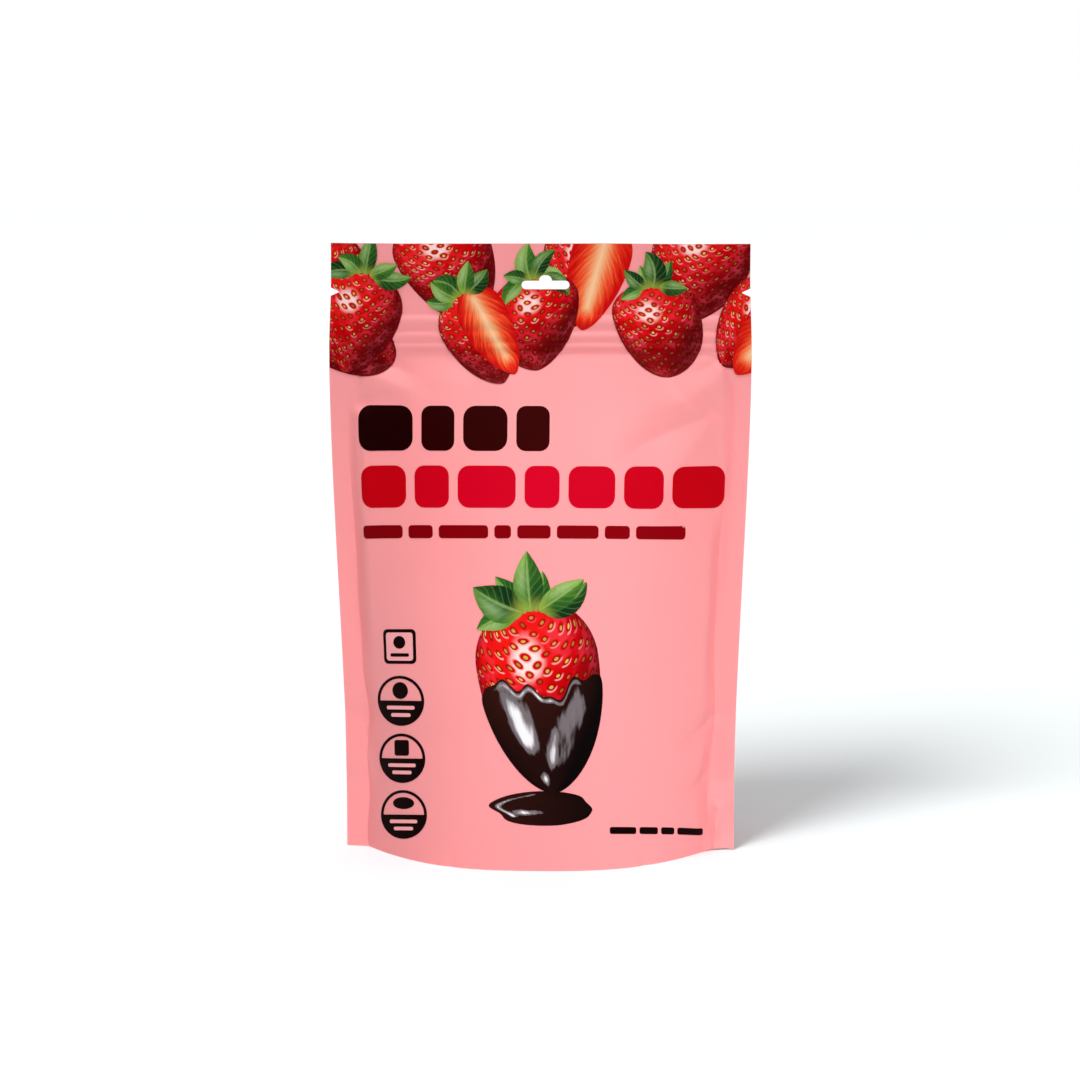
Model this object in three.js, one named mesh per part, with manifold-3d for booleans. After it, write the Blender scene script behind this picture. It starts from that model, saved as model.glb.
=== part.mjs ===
// A shut, filled stand-up pouch of laminated film, standing on its opened bottom gusset.
// Millimetres, +Z up. The front faces -Y, and the origin is on the floor, at the middle
// of the base. The pouch is one closed solid: front panel, back panel, gusset, side seals,
// zip and header, with the hang slot and the two tear notches cut through.

import * as THREE from 'three';
import Module from 'manifold-3d';
import { ParametricGeometry } from 'three/addons/geometries/ParametricGeometry.js';
import { mergeVertices } from 'three/addons/utils/BufferGeometryUtils.js';

const { smoothstep, lerp } = THREE.MathUtils;

// ---------------------------------------------------------------- driving dimensions

const HEIGHT = 236; // floor to the top edge
const TOP_HALF_WIDTH = 80; // half of the flat bag's width
const SHOULDER_HALF_WIDTH = 81; // at the seals below the zip, which splay a little
const FOOT_HALF_WIDTH = 75.8; // at the floor, where the bulge draws the seals in
const FOOT_HALF_DEPTH = 35.6; // floor to seal plane, at the middle of the front
const BELLY_HALF_DEPTH = 37; // at the fullest level
const PLY_THICKNESS = 0.8; // both panels pressed together, in seals and header

const SPLAY_LEVELS = [20, 200]; // between these the half width grows to the shoulders
const DRAWN_IN_LEVELS = [192, 225]; // between these it shrinks to the flat header's
const SEAL_TAPER_LEVELS = [110, 180]; // between these the side seals get narrower
const FULLEST_LEVEL = 30; // level of the deepest bulge
const SHOULDER_LEVEL = 195.5; // where the bulge closes, just under the zip
const ZIP_TOP_LEVEL = 210; // where the zip band ends and the flat header starts
const FOOT_SEAL_WIDTH = 9.3; // side seal, low on the pouch
const TOP_SEAL_WIDTH = 7.5; // side seal, at the zip

const SECTION_POWER = 2.75; // how boxy the bulge is across the pouch
const TAPER_POWER = 2.2; // how long the bulge stays full as it rises
const SHOULDER_POWER = 0.85; // how sharply it closes under the zip

// ridges of the press-to-close zip, low to high
const ZIP_RIDGES = [
  { level: 197.5, halfWidth: 1.5, relief: 0.7 },
  { level: 202.2, halfWidth: 2.3, relief: 0.9 },
  { level: 207.7, halfWidth: 1.5, relief: 0.6 },
];
const ZIP_RELIEF = 0.5; // how far the whole zip band stands out of the header
const ZIP_BAND_EDGE = 1; // half of the height over which that step rises
const ZIP_CRUSH = [68, 74]; // between these half widths the side seals press it flat

// dents pressed into the shoulders, where the flat zip turns into the bulge
const SHOULDER_DENTS = [
  { from: [70, 181], to: [40, 164], halfWidth: 8.5, depth: 2.6 },
  { from: [67, 162], to: [60, 124], halfWidth: 9, depth: 2.0 },
  { from: [-66, 184], to: [-52, 176], halfWidth: 8, depth: 2.2 },
  { from: [-71, 166], to: [-66, 126], halfWidth: 8, depth: 1.8 },
];
const DENT_LIMIT = 0.6; // the largest part of the bulge that a dent takes away

const SKIRT_THICKNESS = 1.0; // the two plies that stand on the floor round the base
const GUSSET_RECESS = 4; // how far the gusset is drawn up just inside the skirt
const GUSSET_END_RISE = 9; // how far it is drawn up towards each side seal
const GUSSET_FLAT_HALF_LENGTH = 36; // the part that lies flat on the floor
const GUSSET_RISEN_HALF_LENGTH = 60; // where its ends are fully drawn up
const GUSSET_FLAT_INSET = 0.62; // the same from front to back, as parts of the half depth
const GUSSET_RECESS_INSET = 0.9;
const GUSSET_ROOM = [1, 12]; // half depths between which it has room to be drawn up

const SLOT_CENTRE = 2.1; // the hang slot sits a little right of the middle
const SLOT_LEVEL = 220.25; // middle of its long bar
const SLOT_LENGTH = 18.2;
const SLOT_BAR_HEIGHT = 3.2;
const SLOT_HUMP_WIDTH = 4.8;
const SLOT_HUMP_RISE = 2.1; // hump above the bar
const NOTCH_LEVEL = 217.4;
const NOTCH_DEPTH = 3.2;
const NOTCH_HALF_MOUTH = 1.5;

// ---------------------------------------------------------------- the pouch's form

function outerHalfWidth(z) {
  const splay = (SHOULDER_HALF_WIDTH - FOOT_HALF_WIDTH) * smoothstep(z, ...SPLAY_LEVELS);
  const drawnIn = (SHOULDER_HALF_WIDTH - TOP_HALF_WIDTH) * smoothstep(z, ...DRAWN_IN_LEVELS);
  return FOOT_HALF_WIDTH + splay - drawnIn;
}

function sealWidth(z) {
  return lerp(FOOT_SEAL_WIDTH, TOP_SEAL_WIDTH, smoothstep(z, ...SEAL_TAPER_LEVELS));
}

// half depth of the bulge at the middle of the panel
function bellyDepth(z) {
  if (z >= SHOULDER_LEVEL) return 0;
  if (z <= FULLEST_LEVEL) {
    return lerp(FOOT_HALF_DEPTH, BELLY_HALF_DEPTH, smoothstep(z, 0, FULLEST_LEVEL));
  }
  const climb = (z - FULLEST_LEVEL) / (SHOULDER_LEVEL - FULLEST_LEVEL);
  return BELLY_HALF_DEPTH * (1 - climb ** TAPER_POWER) ** SHOULDER_POWER;
}

// a rounded ridge of height 1 over |offset| < halfWidth
function ridge(offset, halfWidth) {
  const part = Math.min(1, Math.abs(offset) / halfWidth);
  return (1 - part * part) ** 2;
}

function zipRelief(x, z) {
  const band = smoothstep(z, SHOULDER_LEVEL - ZIP_BAND_EDGE, SHOULDER_LEVEL + ZIP_BAND_EDGE)
    * (1 - smoothstep(z, ZIP_TOP_LEVEL - ZIP_BAND_EDGE, ZIP_TOP_LEVEL + ZIP_BAND_EDGE));
  let relief = ZIP_RELIEF * band;
  for (const bead of ZIP_RIDGES) relief += bead.relief * ridge(z - bead.level, bead.halfWidth);
  return relief * (1 - smoothstep(Math.abs(x), ...ZIP_CRUSH));
}

function dentDepth(x, z) {
  let depth = 0;
  for (const dent of SHOULDER_DENTS) {
    const start = new THREE.Vector3(...dent.from, 0);
    const line = new THREE.Line3(start, new THREE.Vector3(...dent.to, 0));
    const here = new THREE.Vector3(x, z, 0);
    const nearest = line.closestPointToPoint(here, true, new THREE.Vector3());
    depth += dent.depth * ridge(here.distanceTo(nearest), dent.halfWidth);
  }
  return depth;
}

// How far the outside of a panel stands from the seal plane. `across` runs from -2 to 2:
// -1 and 1 are the inner edges of the side seals, and -2 and 2 are the outer edges.
function panelPoint(across, z) {
  const outer = outerHalfWidth(z);
  const inner = outer - sealWidth(z);
  const reach = Math.abs(across);
  const half = reach <= 1 ? reach * inner : inner + (reach - 1) * (outer - inner);
  const x = Math.sign(across) * half;
  const section = reach < 1 ? 1 - reach ** SECTION_POWER : 0;
  const bulge = bellyDepth(z) * section;
  const dent = Math.min(dentDepth(x, z), DENT_LIMIT * bulge);
  return { x, depth: PLY_THICKNESS / 2 + bulge - dent + zipRelief(x, z) };
}

// The underside. `inset` runs from 0 on the middle line to 1 at the skirt's inner edge on
// the floor. The gusset lies flat in the middle and is drawn up inside the skirt and
// towards the side seals.
function gussetPoint(across, inset) {
  const { x, depth } = panelPoint(across, 0);
  const inside = depth - Math.min(SKIRT_THICKNESS, depth / 2);
  if (inset === 1) return { x, y: inside, z: 0 };
  const drawnUp = GUSSET_RECESS * smoothstep(inset, GUSSET_FLAT_INSET, GUSSET_RECESS_INSET)
    + GUSSET_END_RISE
    * smoothstep(Math.abs(x), GUSSET_FLAT_HALF_LENGTH, GUSSET_RISEN_HALF_LENGTH);
  return { x, y: inside * inset, z: drawnUp * smoothstep(inside, ...GUSSET_ROOM) };
}

// ---------------------------------------------------------------- stations of the mesh

const COLUMNS_INSIDE_SEALS = 28;
const COLUMN_CROWDING = 0.46 * Math.PI; // sets them closer together towards the flanks

function columnStations() {
  const stations = [-2];
  for (let i = 0; i <= COLUMNS_INSIDE_SEALS; i++) {
    const even = (2 * i) / COLUMNS_INSIDE_SEALS - 1;
    stations.push(Math.sin(even * COLUMN_CROWDING) / Math.sin(COLUMN_CROWDING));
  }
  stations.push(2);
  return stations;
}

// rows of the panels, as [top level of the band, rows in the band]
const ROW_BANDS = [
  [12, 3],
  [116, 13],
  [160, 8],
  [SHOULDER_LEVEL - ZIP_BAND_EDGE, 12],
  [ZIP_TOP_LEVEL + ZIP_BAND_EDGE, 17],
  [HEIGHT, 2],
];

function levelStations() {
  const levels = [0];
  let low = 0;
  for (const [high, rows] of ROW_BANDS) {
    for (let i = 1; i <= rows; i++) levels.push(lerp(low, high, i / rows));
    low = high;
  }
  return levels;
}

// rows of the underside, from its middle line to the skirt's inner edge
const GUSSET_INSETS = [0, 0.3, GUSSET_FLAT_INSET, 0.76, GUSSET_RECESS_INSET, 0.985, 1];

// Each ring gives a point of the front half of the outline at `across`. The rings start on
// the middle line of the underside, climb the panels and close along the top edge.
function outlineRings() {
  const rings = GUSSET_INSETS.map((inset) => (across) => gussetPoint(across, inset));
  for (const z of levelStations()) {
    rings.push((across) => {
      const { x, depth } = panelPoint(across, z);
      return { x, y: depth, z };
    });
  }
  rings.push((across) => ({ x: panelPoint(across, HEIGHT).x, y: 0, z: HEIGHT }));
  return rings;
}

// ---------------------------------------------------------------- solids

// joins vertices that share a place and drops the triangles that this closes up
function weld(geometry) {
  const bare = geometry.clone();
  bare.deleteAttribute('normal');
  bare.deleteAttribute('uv');
  const merged = mergeVertices(bare, 1e-4);
  const corners = merged.getIndex().array;
  const kept = [];
  for (let i = 0; i < corners.length; i += 3) {
    const [a, b, c] = corners.slice(i, i + 3);
    if (a !== b && b !== c && c !== a) kept.push(a, b, c);
  }
  merged.setIndex(kept);
  return merged;
}

function pouchGeometry() {
  const columns = columnStations();
  const rings = outlineRings();
  const slices = 2 * columns.length;
  const stacks = rings.length - 1;
  const wall = (u, v, target) => {
    const place = Math.round(u * slices) % slices;
    const onFront = place < columns.length;
    const across = onFront ? columns[place] : columns[slices - 1 - place];
    // the back panel is the front panel turned half round
    const point = rings[Math.round(v * stacks)](onFront ? across : -across);
    if (onFront) target.set(point.x, -point.y, point.z);
    else target.set(-point.x, point.y, point.z);
  };
  return weld(new ParametricGeometry(wall, slices, stacks));
}

// a prism of the outline, which is drawn in X and Z, running through both panels
function cutter(outline) {
  const reach = 12;
  const geometry = new THREE.ExtrudeGeometry(outline, {
    depth: reach,
    bevelEnabled: false,
    curveSegments: 8,
  });
  geometry.rotateX(Math.PI / 2);
  geometry.translate(0, reach / 2, 0);
  return weld(geometry);
}

// a long bar with round ends and a hump in the middle, for a display hook
function hangSlotOutline() {
  const end = SLOT_BAR_HEIGHT / 2;
  const straight = SLOT_LENGTH / 2 - end;
  const hump = SLOT_HUMP_WIDTH / 2;
  const corner = 0.8;
  const low = SLOT_LEVEL - end;
  const high = SLOT_LEVEL + end;
  const crown = high + SLOT_HUMP_RISE;
  const right = SLOT_CENTRE + straight;
  const left = SLOT_CENTRE - straight;
  const shape = new THREE.Shape();
  shape.moveTo(left, low);
  shape.lineTo(right, low);
  shape.absarc(right, SLOT_LEVEL, end, -Math.PI / 2, Math.PI / 2, false);
  shape.lineTo(SLOT_CENTRE + hump, high);
  shape.absarc(SLOT_CENTRE + hump - corner, crown - corner, corner, 0, Math.PI / 2, false);
  shape.absarc(SLOT_CENTRE - hump + corner, crown - corner, corner, Math.PI / 2, Math.PI, false);
  shape.lineTo(SLOT_CENTRE - hump, high);
  shape.lineTo(left, high);
  shape.absarc(left, SLOT_LEVEL, end, Math.PI / 2, Math.PI * 1.5, false);
  return shape;
}

// a blunt wedge into the side seal; `side` is -1 on the left and 1 on the right
function tearNotchOutline(side) {
  const edge = outerHalfWidth(NOTCH_LEVEL);
  const tip = edge - NOTCH_DEPTH;
  const blunt = 0.35;
  const beyond = edge + 2;
  const slope = (NOTCH_HALF_MOUTH - blunt) / NOTCH_DEPTH;
  const mouth = NOTCH_HALF_MOUTH + slope * (beyond - edge);
  const shape = new THREE.Shape();
  shape.moveTo(side * beyond, NOTCH_LEVEL - mouth);
  shape.lineTo(side * beyond, NOTCH_LEVEL + mouth);
  shape.lineTo(side * tip, NOTCH_LEVEL + blunt);
  shape.lineTo(side * (tip - blunt), NOTCH_LEVEL);
  shape.lineTo(side * tip, NOTCH_LEVEL - blunt);
  return shape;
}

const wasm = await Module();
wasm.setup();

function toSolid(geometry) {
  const vertProperties = Float32Array.from(geometry.getAttribute('position').array);
  const triVerts = Uint32Array.from(geometry.getIndex().array);
  return new wasm.Manifold(new wasm.Mesh({ numProp: 3, vertProperties, triVerts }));
}

function toGeometry(solid) {
  const { vertProperties, triVerts } = solid.getMesh();
  const geometry = new THREE.BufferGeometry();
  geometry.setAttribute('position', new THREE.BufferAttribute(vertProperties, 3));
  geometry.setIndex(new THREE.BufferAttribute(triVerts, 1));
  geometry.computeVertexNormals();
  return geometry;
}

// ---------------------------------------------------------------- the object

const cuts = [hangSlotOutline(), tearNotchOutline(-1), tearNotchOutline(1)];
let pouchSolid = toSolid(pouchGeometry());
for (const outline of cuts) pouchSolid = pouchSolid.subtract(toSolid(cutter(outline)));

const film = new THREE.MeshStandardMaterial({ color: 0xffa9ab, roughness: 0.55, metalness: 0 });
const pouch = new THREE.Mesh(toGeometry(pouchSolid), film);
pouch.name = 'pouch';

const group = new THREE.Group();
group.add(pouch);

export default group;
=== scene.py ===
"""A shut, filled stand-up pouch of matt pink film with simple printed strawberries.

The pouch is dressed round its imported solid: the film with its seals, zip, folds, hang
slot and gusset, and the inks that lie on it. Sizes are in millimetres, in the frame of
the solid: +Z up, the front facing -Y, the origin on the floor under the middle.
"""

from __future__ import annotations

import logging
import math
from collections.abc import Iterable
from dataclasses import dataclass, field
from enum import Enum

import bmesh
import bpy
import numpy as np
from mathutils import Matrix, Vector

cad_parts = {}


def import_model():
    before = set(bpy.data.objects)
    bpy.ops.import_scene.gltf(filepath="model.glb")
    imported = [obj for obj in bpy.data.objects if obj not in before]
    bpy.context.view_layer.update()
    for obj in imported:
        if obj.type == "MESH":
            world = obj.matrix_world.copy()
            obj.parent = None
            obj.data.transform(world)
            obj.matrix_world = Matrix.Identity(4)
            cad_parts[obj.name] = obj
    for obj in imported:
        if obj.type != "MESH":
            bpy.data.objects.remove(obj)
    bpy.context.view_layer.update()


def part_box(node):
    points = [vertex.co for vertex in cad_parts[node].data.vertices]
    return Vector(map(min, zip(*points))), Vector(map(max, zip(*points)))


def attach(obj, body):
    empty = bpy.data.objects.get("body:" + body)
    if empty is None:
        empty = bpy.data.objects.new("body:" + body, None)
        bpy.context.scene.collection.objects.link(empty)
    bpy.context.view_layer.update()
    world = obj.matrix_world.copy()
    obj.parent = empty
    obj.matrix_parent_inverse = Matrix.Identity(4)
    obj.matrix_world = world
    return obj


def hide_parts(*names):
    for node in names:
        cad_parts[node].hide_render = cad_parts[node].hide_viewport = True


LOG = logging.getLogger("pouch")
MM = 0.001
WHITE = (1.0, 1.0, 1.0, 1.0)
LEAST_FADE = 1e-3
LEAST_BEND = 1e-6
CREASE_REACH = 6.0
BODY = "root"
NODE = "pouch"

Array = np.ndarray
ArrayPair = tuple[Array, Array]
Mesh = bmesh.types.BMesh
Socket = bpy.types.NodeSocket
Colour = tuple[float, float, float]
Point = tuple[float, float]
Place = tuple[float, float, float]
Stops = tuple[tuple[float, Colour], ...]


class Panel(Enum):
    """The two big panels, by the sign of the side of the seal plane that they are on."""

    FRONT = -1
    BACK = 1


def smoothstep(value: Array, low: float, high: float) -> Array:
    """Rise smoothly from 0 at low to 1 at high.

    Args:
        value: Numbers to map.
        low: Where the rise starts.
        high: Where it ends.

    Returns:
        The mapped numbers, from 0 to 1.
    """
    share = np.clip((np.asarray(value, float) - low) / (high - low), 0.0, 1.0)
    return share * share * (3.0 - 2.0 * share)


def stations(bands: Iterable[tuple[float, int]]) -> Array:
    """Space out stations from nought in bands of even steps.

    Args:
        bands: For each band, its end and the number of steps in it.

    Returns:
        All stations, the first included.
    """
    found = [0.0]
    for end, steps in bands:
        found.extend(np.linspace(found[-1], end, steps + 1)[1:])
    return np.array(found)


@dataclass(frozen=True)
class Ripple:
    """A regular wave, which gives the film and its seals their unevenness.

    Attributes:
        height: Half the rise from trough to crest.
        run: Length over which the wave's angle grows by one radian.
        start: Angle at the centre, in radians.
        centre: Place that the angle is counted from.
    """

    height: float
    run: float
    start: float = 0.0
    centre: float = 0.0

    def at(self, place: Array, shift: float | Array = 0.0) -> Array:
        """Give the wave's height at places along it, with its start shifted if asked to."""
        return self.height * np.sin((place - self.centre) / self.run + self.start + shift)


def smooth_path(points: tuple[Point, ...], steps: int = 10) -> Array:
    """Draw a smooth line through points, by the Catmull-Rom rule.

    Args:
        points: The points that the line passes through.
        steps: Pieces that each stretch is divided into.

    Returns:
        The line's points, one a row.
    """
    given = np.array(points, float)
    if len(points) == 2:
        return given
    ends = np.vstack([2 * given[0] - given[1], given, 2 * given[-1] - given[-2]])
    line = []
    for before, here, there, after in zip(ends, ends[1:], ends[2:], ends[3:]):
        for t in np.linspace(0.0, 1.0, steps, endpoint=False):
            line.append(
                here
                + 0.5 * t * (there - before)
                + 0.5 * t * t * (2 * before - 5 * here + 4 * there - after)
                + 0.5 * t**3 * (3 * here - before - 3 * there + after)
            )
    line.append(given[-1])
    return np.array(line)


@dataclass(frozen=True)
class Crease:
    """A fold in the film: a crest or a trough that follows a line and falls off sideways.

    Attributes:
        path: Points (x, z) of the fold's line.
        lift: Height of the crest, or below zero the depth of the trough.
        left: How far the fold spreads to the left of its line, seen along it.
        right: The same to the right.
        edge: Radius of the crest; a small one makes a sharp fold.
        fade: Shares of the length over which the fold dies out at its start and end.
    """

    path: tuple[Point, ...]
    lift: float
    left: float
    right: float
    edge: float = 1.2
    fade: Point = (0.25, 0.4)

    def relief(self, x: Array, z: Array) -> Array:
        """Work out how far the fold moves the film outwards.

        Args:
            x: Places across the panel.
            z: Levels of the same places.

        Returns:
            The displacement at each place, in millimetres.
        """
        line = smooth_path(self.path)
        reach = CREASE_REACH * max(self.left, self.right)
        low = line.min(axis=0) - reach
        high = line.max(axis=0) + reach
        near = (x > low[0]) & (x < high[0]) & (z > low[1]) & (z < high[1])
        relief = np.zeros_like(x)
        if not near.any():
            return relief
        place = np.column_stack([x[near], z[near]])
        nearest = np.full(len(place), np.inf)
        offset = np.zeros(len(place))
        along = np.zeros(len(place))
        lengths = np.linalg.norm(np.diff(line, axis=0), axis=1)
        walked = np.concatenate([[0.0], np.cumsum(lengths)])
        for index, (start, end) in enumerate(zip(line, line[1:])):
            direction = (end - start) / lengths[index]
            away = place - start
            share = np.clip(away @ direction, 0.0, lengths[index])
            gap = away - share[:, None] * direction
            distance = np.hypot(gap[:, 0], gap[:, 1])
            side = np.sign(direction[0] * away[:, 1] - direction[1] * away[:, 0])
            closer = distance < nearest
            nearest[closer] = distance[closer]
            offset[closer] = (distance * np.where(side == 0, 1, side))[closer]
            along[closer] = ((walked[index] + share) / walked[-1])[closer]
        spread = np.where(offset > 0, self.left, self.right)
        fall = np.exp(-(np.hypot(offset, self.edge) - self.edge) / spread)
        ends = smoothstep(along, 0.0, max(self.fade[0], LEAST_FADE))
        ends = ends * smoothstep(1.0 - along, 0.0, max(self.fade[1], LEAST_FADE))
        relief[near] = self.lift * fall * ends
        return relief


@dataclass(frozen=True)
class Bump:
    """A soft round swell or dent of the film."""

    centre: Point
    lift: float
    across: float
    upright: float

    def relief(self, x: Array, z: Array) -> Array:
        """Work out how far the swell moves the film outwards.

        Args:
            x: Places across the panel.
            z: Levels of the same places.

        Returns:
            The displacement at each place, in millimetres.
        """
        far = ((x - self.centre[0]) / self.across) ** 2
        far = far + ((z - self.centre[1]) / self.upright) ** 2
        return self.lift * np.exp(-far)


@dataclass(frozen=True)
class ZipRidge:
    """One ridge of the press-to-close zip."""

    level: float
    half_width: float
    height: float

    def relief(self, z: Array) -> Array:
        """Give how far the ridge moves the film outwards at a level."""
        share = np.clip(np.abs(z - self.level) / self.half_width, 0.0, 1.0)
        return self.height * (1.0 - share * share) ** 2


FRONT_FOLDS = (
    # the right shoulder: folds that fan out from where the zip meets the side seal
    Crease(
        ((74.0, 190.0), (70.5, 191.5), (66.5, 190.5), (61.5, 187.5), (57.0, 184.5)),
        -1.3, 1.8, 1.8, 0.7, (0.1, 0.6),
    ),
    Crease(
        ((72.1, 191.1), (67.6, 184.7), (62.4, 180.8), (56.3, 177.7), (47.6, 174.9), (36.0, 171.6)),
        2.7, 6.0, 9.0, 1.3, (0.1, 0.5),
    ),
    Crease(
        ((70.5, 172.6), (64.0, 170.2), (53.7, 166.9), (45.0, 163.2), (36.4, 159.2), (26.0, 151.5)),
        -3.3, 27.0, 5.0, 0.7, (0.15, 0.45),
    ),
    Crease(
        ((68.5, 171.8), (63.3, 166.3), (56.3, 157.2), (49.5, 146.5), (44.5, 134.5), (41.5, 120.0)),
        3.8, 6.8, 25.0, 1.0, (0.1, 0.6),
    ),
    # the left shoulder, and the left flank below it
    Crease(
        ((-65.5, 192.8), (-59.8, 191.3), (-54.5, 188.8), (-49.6, 186.4), (-44.0, 185.0)),
        -1.6, 2.2, 2.4, 0.7, (0.15, 0.6),
    ),
    Crease(
        ((-70.5, 185.2), (-61.9, 184.4), (-56.1, 182.0), (-50.8, 180.7), (-42.0, 181.0)),
        2.2, 4.5, 6.0, 1.2, (0.12, 0.5),
    ),
    Crease(
        ((-72.0, 176.4), (-65.9, 174.6), (-59.6, 175.3), (-53.4, 174.4), (-44.0, 171.0)),
        -2.2, 6.0, 4.5, 1.2, (0.15, 0.5),
    ),
    Crease(
        ((-70.8, 175.5), (-67.6, 162.0), (-67.0, 140.0), (-65.9, 115.0), (-64.8, 90.0), (-64.0, 60.0)),
        2.7, 9.0, 5.2, 0.6, (0.05, 0.4),
    ),
    # the right flank, and its creases lower down
    Crease(
        ((66.2, 134.0), (65.4, 116.0), (64.8, 96.0), (63.8, 80.0), (62.7, 64.0), (62.0, 46.0)),
        2.7, 4.3, 15.0, 0.9, (0.15, 0.3),
    ),
    Crease(
        ((67.6, 53.3), (63.9, 50.6), (60.8, 48.4), (57.7, 46.1), (51.0, 42.0)),
        -2.3, 3.2, 2.4, 0.4, (0.05, 0.5),
    ),
    Crease(
        ((63.8, 50.0), (63.2, 41.0), (62.0, 32.0), (60.8, 22.0), (61.0, 14.0), (62.4, 3.0)),
        1.7, 2.4, 8.0, 0.4, (0.25, 0.15),
    ),
    Crease(
        ((67.6, 32.2), (64.1, 29.3), (61.0, 27.2), (57.9, 26.3), (53.0, 25.8)),
        -2.8, 2.8, 2.2, 0.4, (0.05, 0.6),
    ),
    # the lower left flank
    Crease(((-66.6, 44.0), (-63.0, 35.0), (-62.0, 22.0)), -0.8, 2.6, 2.6, 0.9, (0.25, 0.5)),
    Crease(((-66.4, 66.0), (-61.5, 60.0), (-58.0, 50.0)), 0.7, 3.4, 3.4, 1.0, (0.25, 0.5)),
    # pinches in the foot
    Crease(((40.8, -1.0), (40.2, 3.0), (38.5, 8.0)), -0.8, 1.0, 1.3, 0.4, (0.0, 0.7)),
    Crease(((-33.0, -1.0), (-33.4, 3.0), (-35.0, 7.0)), -0.48, 1.1, 1.1, 0.4, (0.0, 0.7)),
)

FRONT_BUMPS = (
    Bump((-36.0, 184.0), 0.6, 8.0, 4.5),
    Bump((-16.0, 183.0), 0.5, 9.0, 4.5),
    Bump((12.0, 185.0), 0.4, 12.0, 5.0),
    Bump((-58.0, 150.0), -0.6, 9.0, 18.0),
    Bump((58.0, 78.0), 0.6, 9.0, 22.0),
    Bump((-54.0, 92.0), 0.5, 12.0, 26.0),
    Bump((8.0, 120.0), -0.5, 30.0, 22.0),
)

# kinks of the seals and the header, which bend both plies together; a crest is to the back
SEAL_KINKS = (
    Crease(
        ((73.2, 189.0), (72.8, 170.0), (71.9, 150.0), (70.5, 128.0), (69.1, 105.0), (67.8, 78.0)),
        1.2, 1.3, 1.2, 0.2, (0.1, 0.4),
    ),
    Crease(
        ((67.6, 50.0), (68.2, 42.0), (67.4, 33.0), (66.1, 23.7), (65.8, 16.3), (67.2, 4.0)),
        0.8, 1.4, 1.2, 0.3, (0.1, 0.2),
    ),
    Crease(((20.0, 20.3), (124.0, 33.5)), 2.8, 60.0, 9.0, 0.3, (0.0, 0.0)),
    Crease(((40.0, -3.0), (104.0, 1.4)), -4.0, 12.0, 12.0, 0.8, (0.0, 0.0)),
    Crease(((69.6, 20.0), (68.7, 10.0), (68.4, -2.0)), -1.1, 2.4, 2.0, 0.2, (0.15, 0.0)),
    Crease(((74.4, 21.0), (72.4, 12.0), (70.3, 3.5), (69.2, -2.0)), 1.4, 6.0, 1.8, 0.2, (0.4, 0.0)),
    Crease(((64.0, 53.0), (71.3, 53.4), (75.6, 54.9), (82.0, 57.5)), 1.0, 4.5, 4.5, 0.6, (0.0, 0.0)),
    Crease(((64.0, 38.5), (82.0, 42.0)), -0.7, 5.0, 5.0, 1.0, (0.0, 0.0)),
    Crease(((-82.0, 56.0), (-66.0, 50.0)), 1.0, 5.0, 6.0, 1.0, (0.0, 0.0)),
    Crease(((-82.0, 31.0), (-66.0, 35.0)), -0.9, 5.0, 5.0, 1.0, (0.0, 0.0)),
    Crease(((-84.0, 196.0), (-70.0, 190.0)), 0.7, 5.0, 5.0, 1.0, (0.0, 0.0)),
    Crease(((68.0, 193.0), (84.0, 199.0)), 0.9, 5.0, 5.0, 1.0, (0.0, 0.0)),
)

ZIP_RIDGES = (
    ZipRidge(196.9, 1.7, 0.55),
    ZipRidge(200.7, 2.35, 0.8),
    ZipRidge(206.2, 2.9, 0.85),
)


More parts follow.
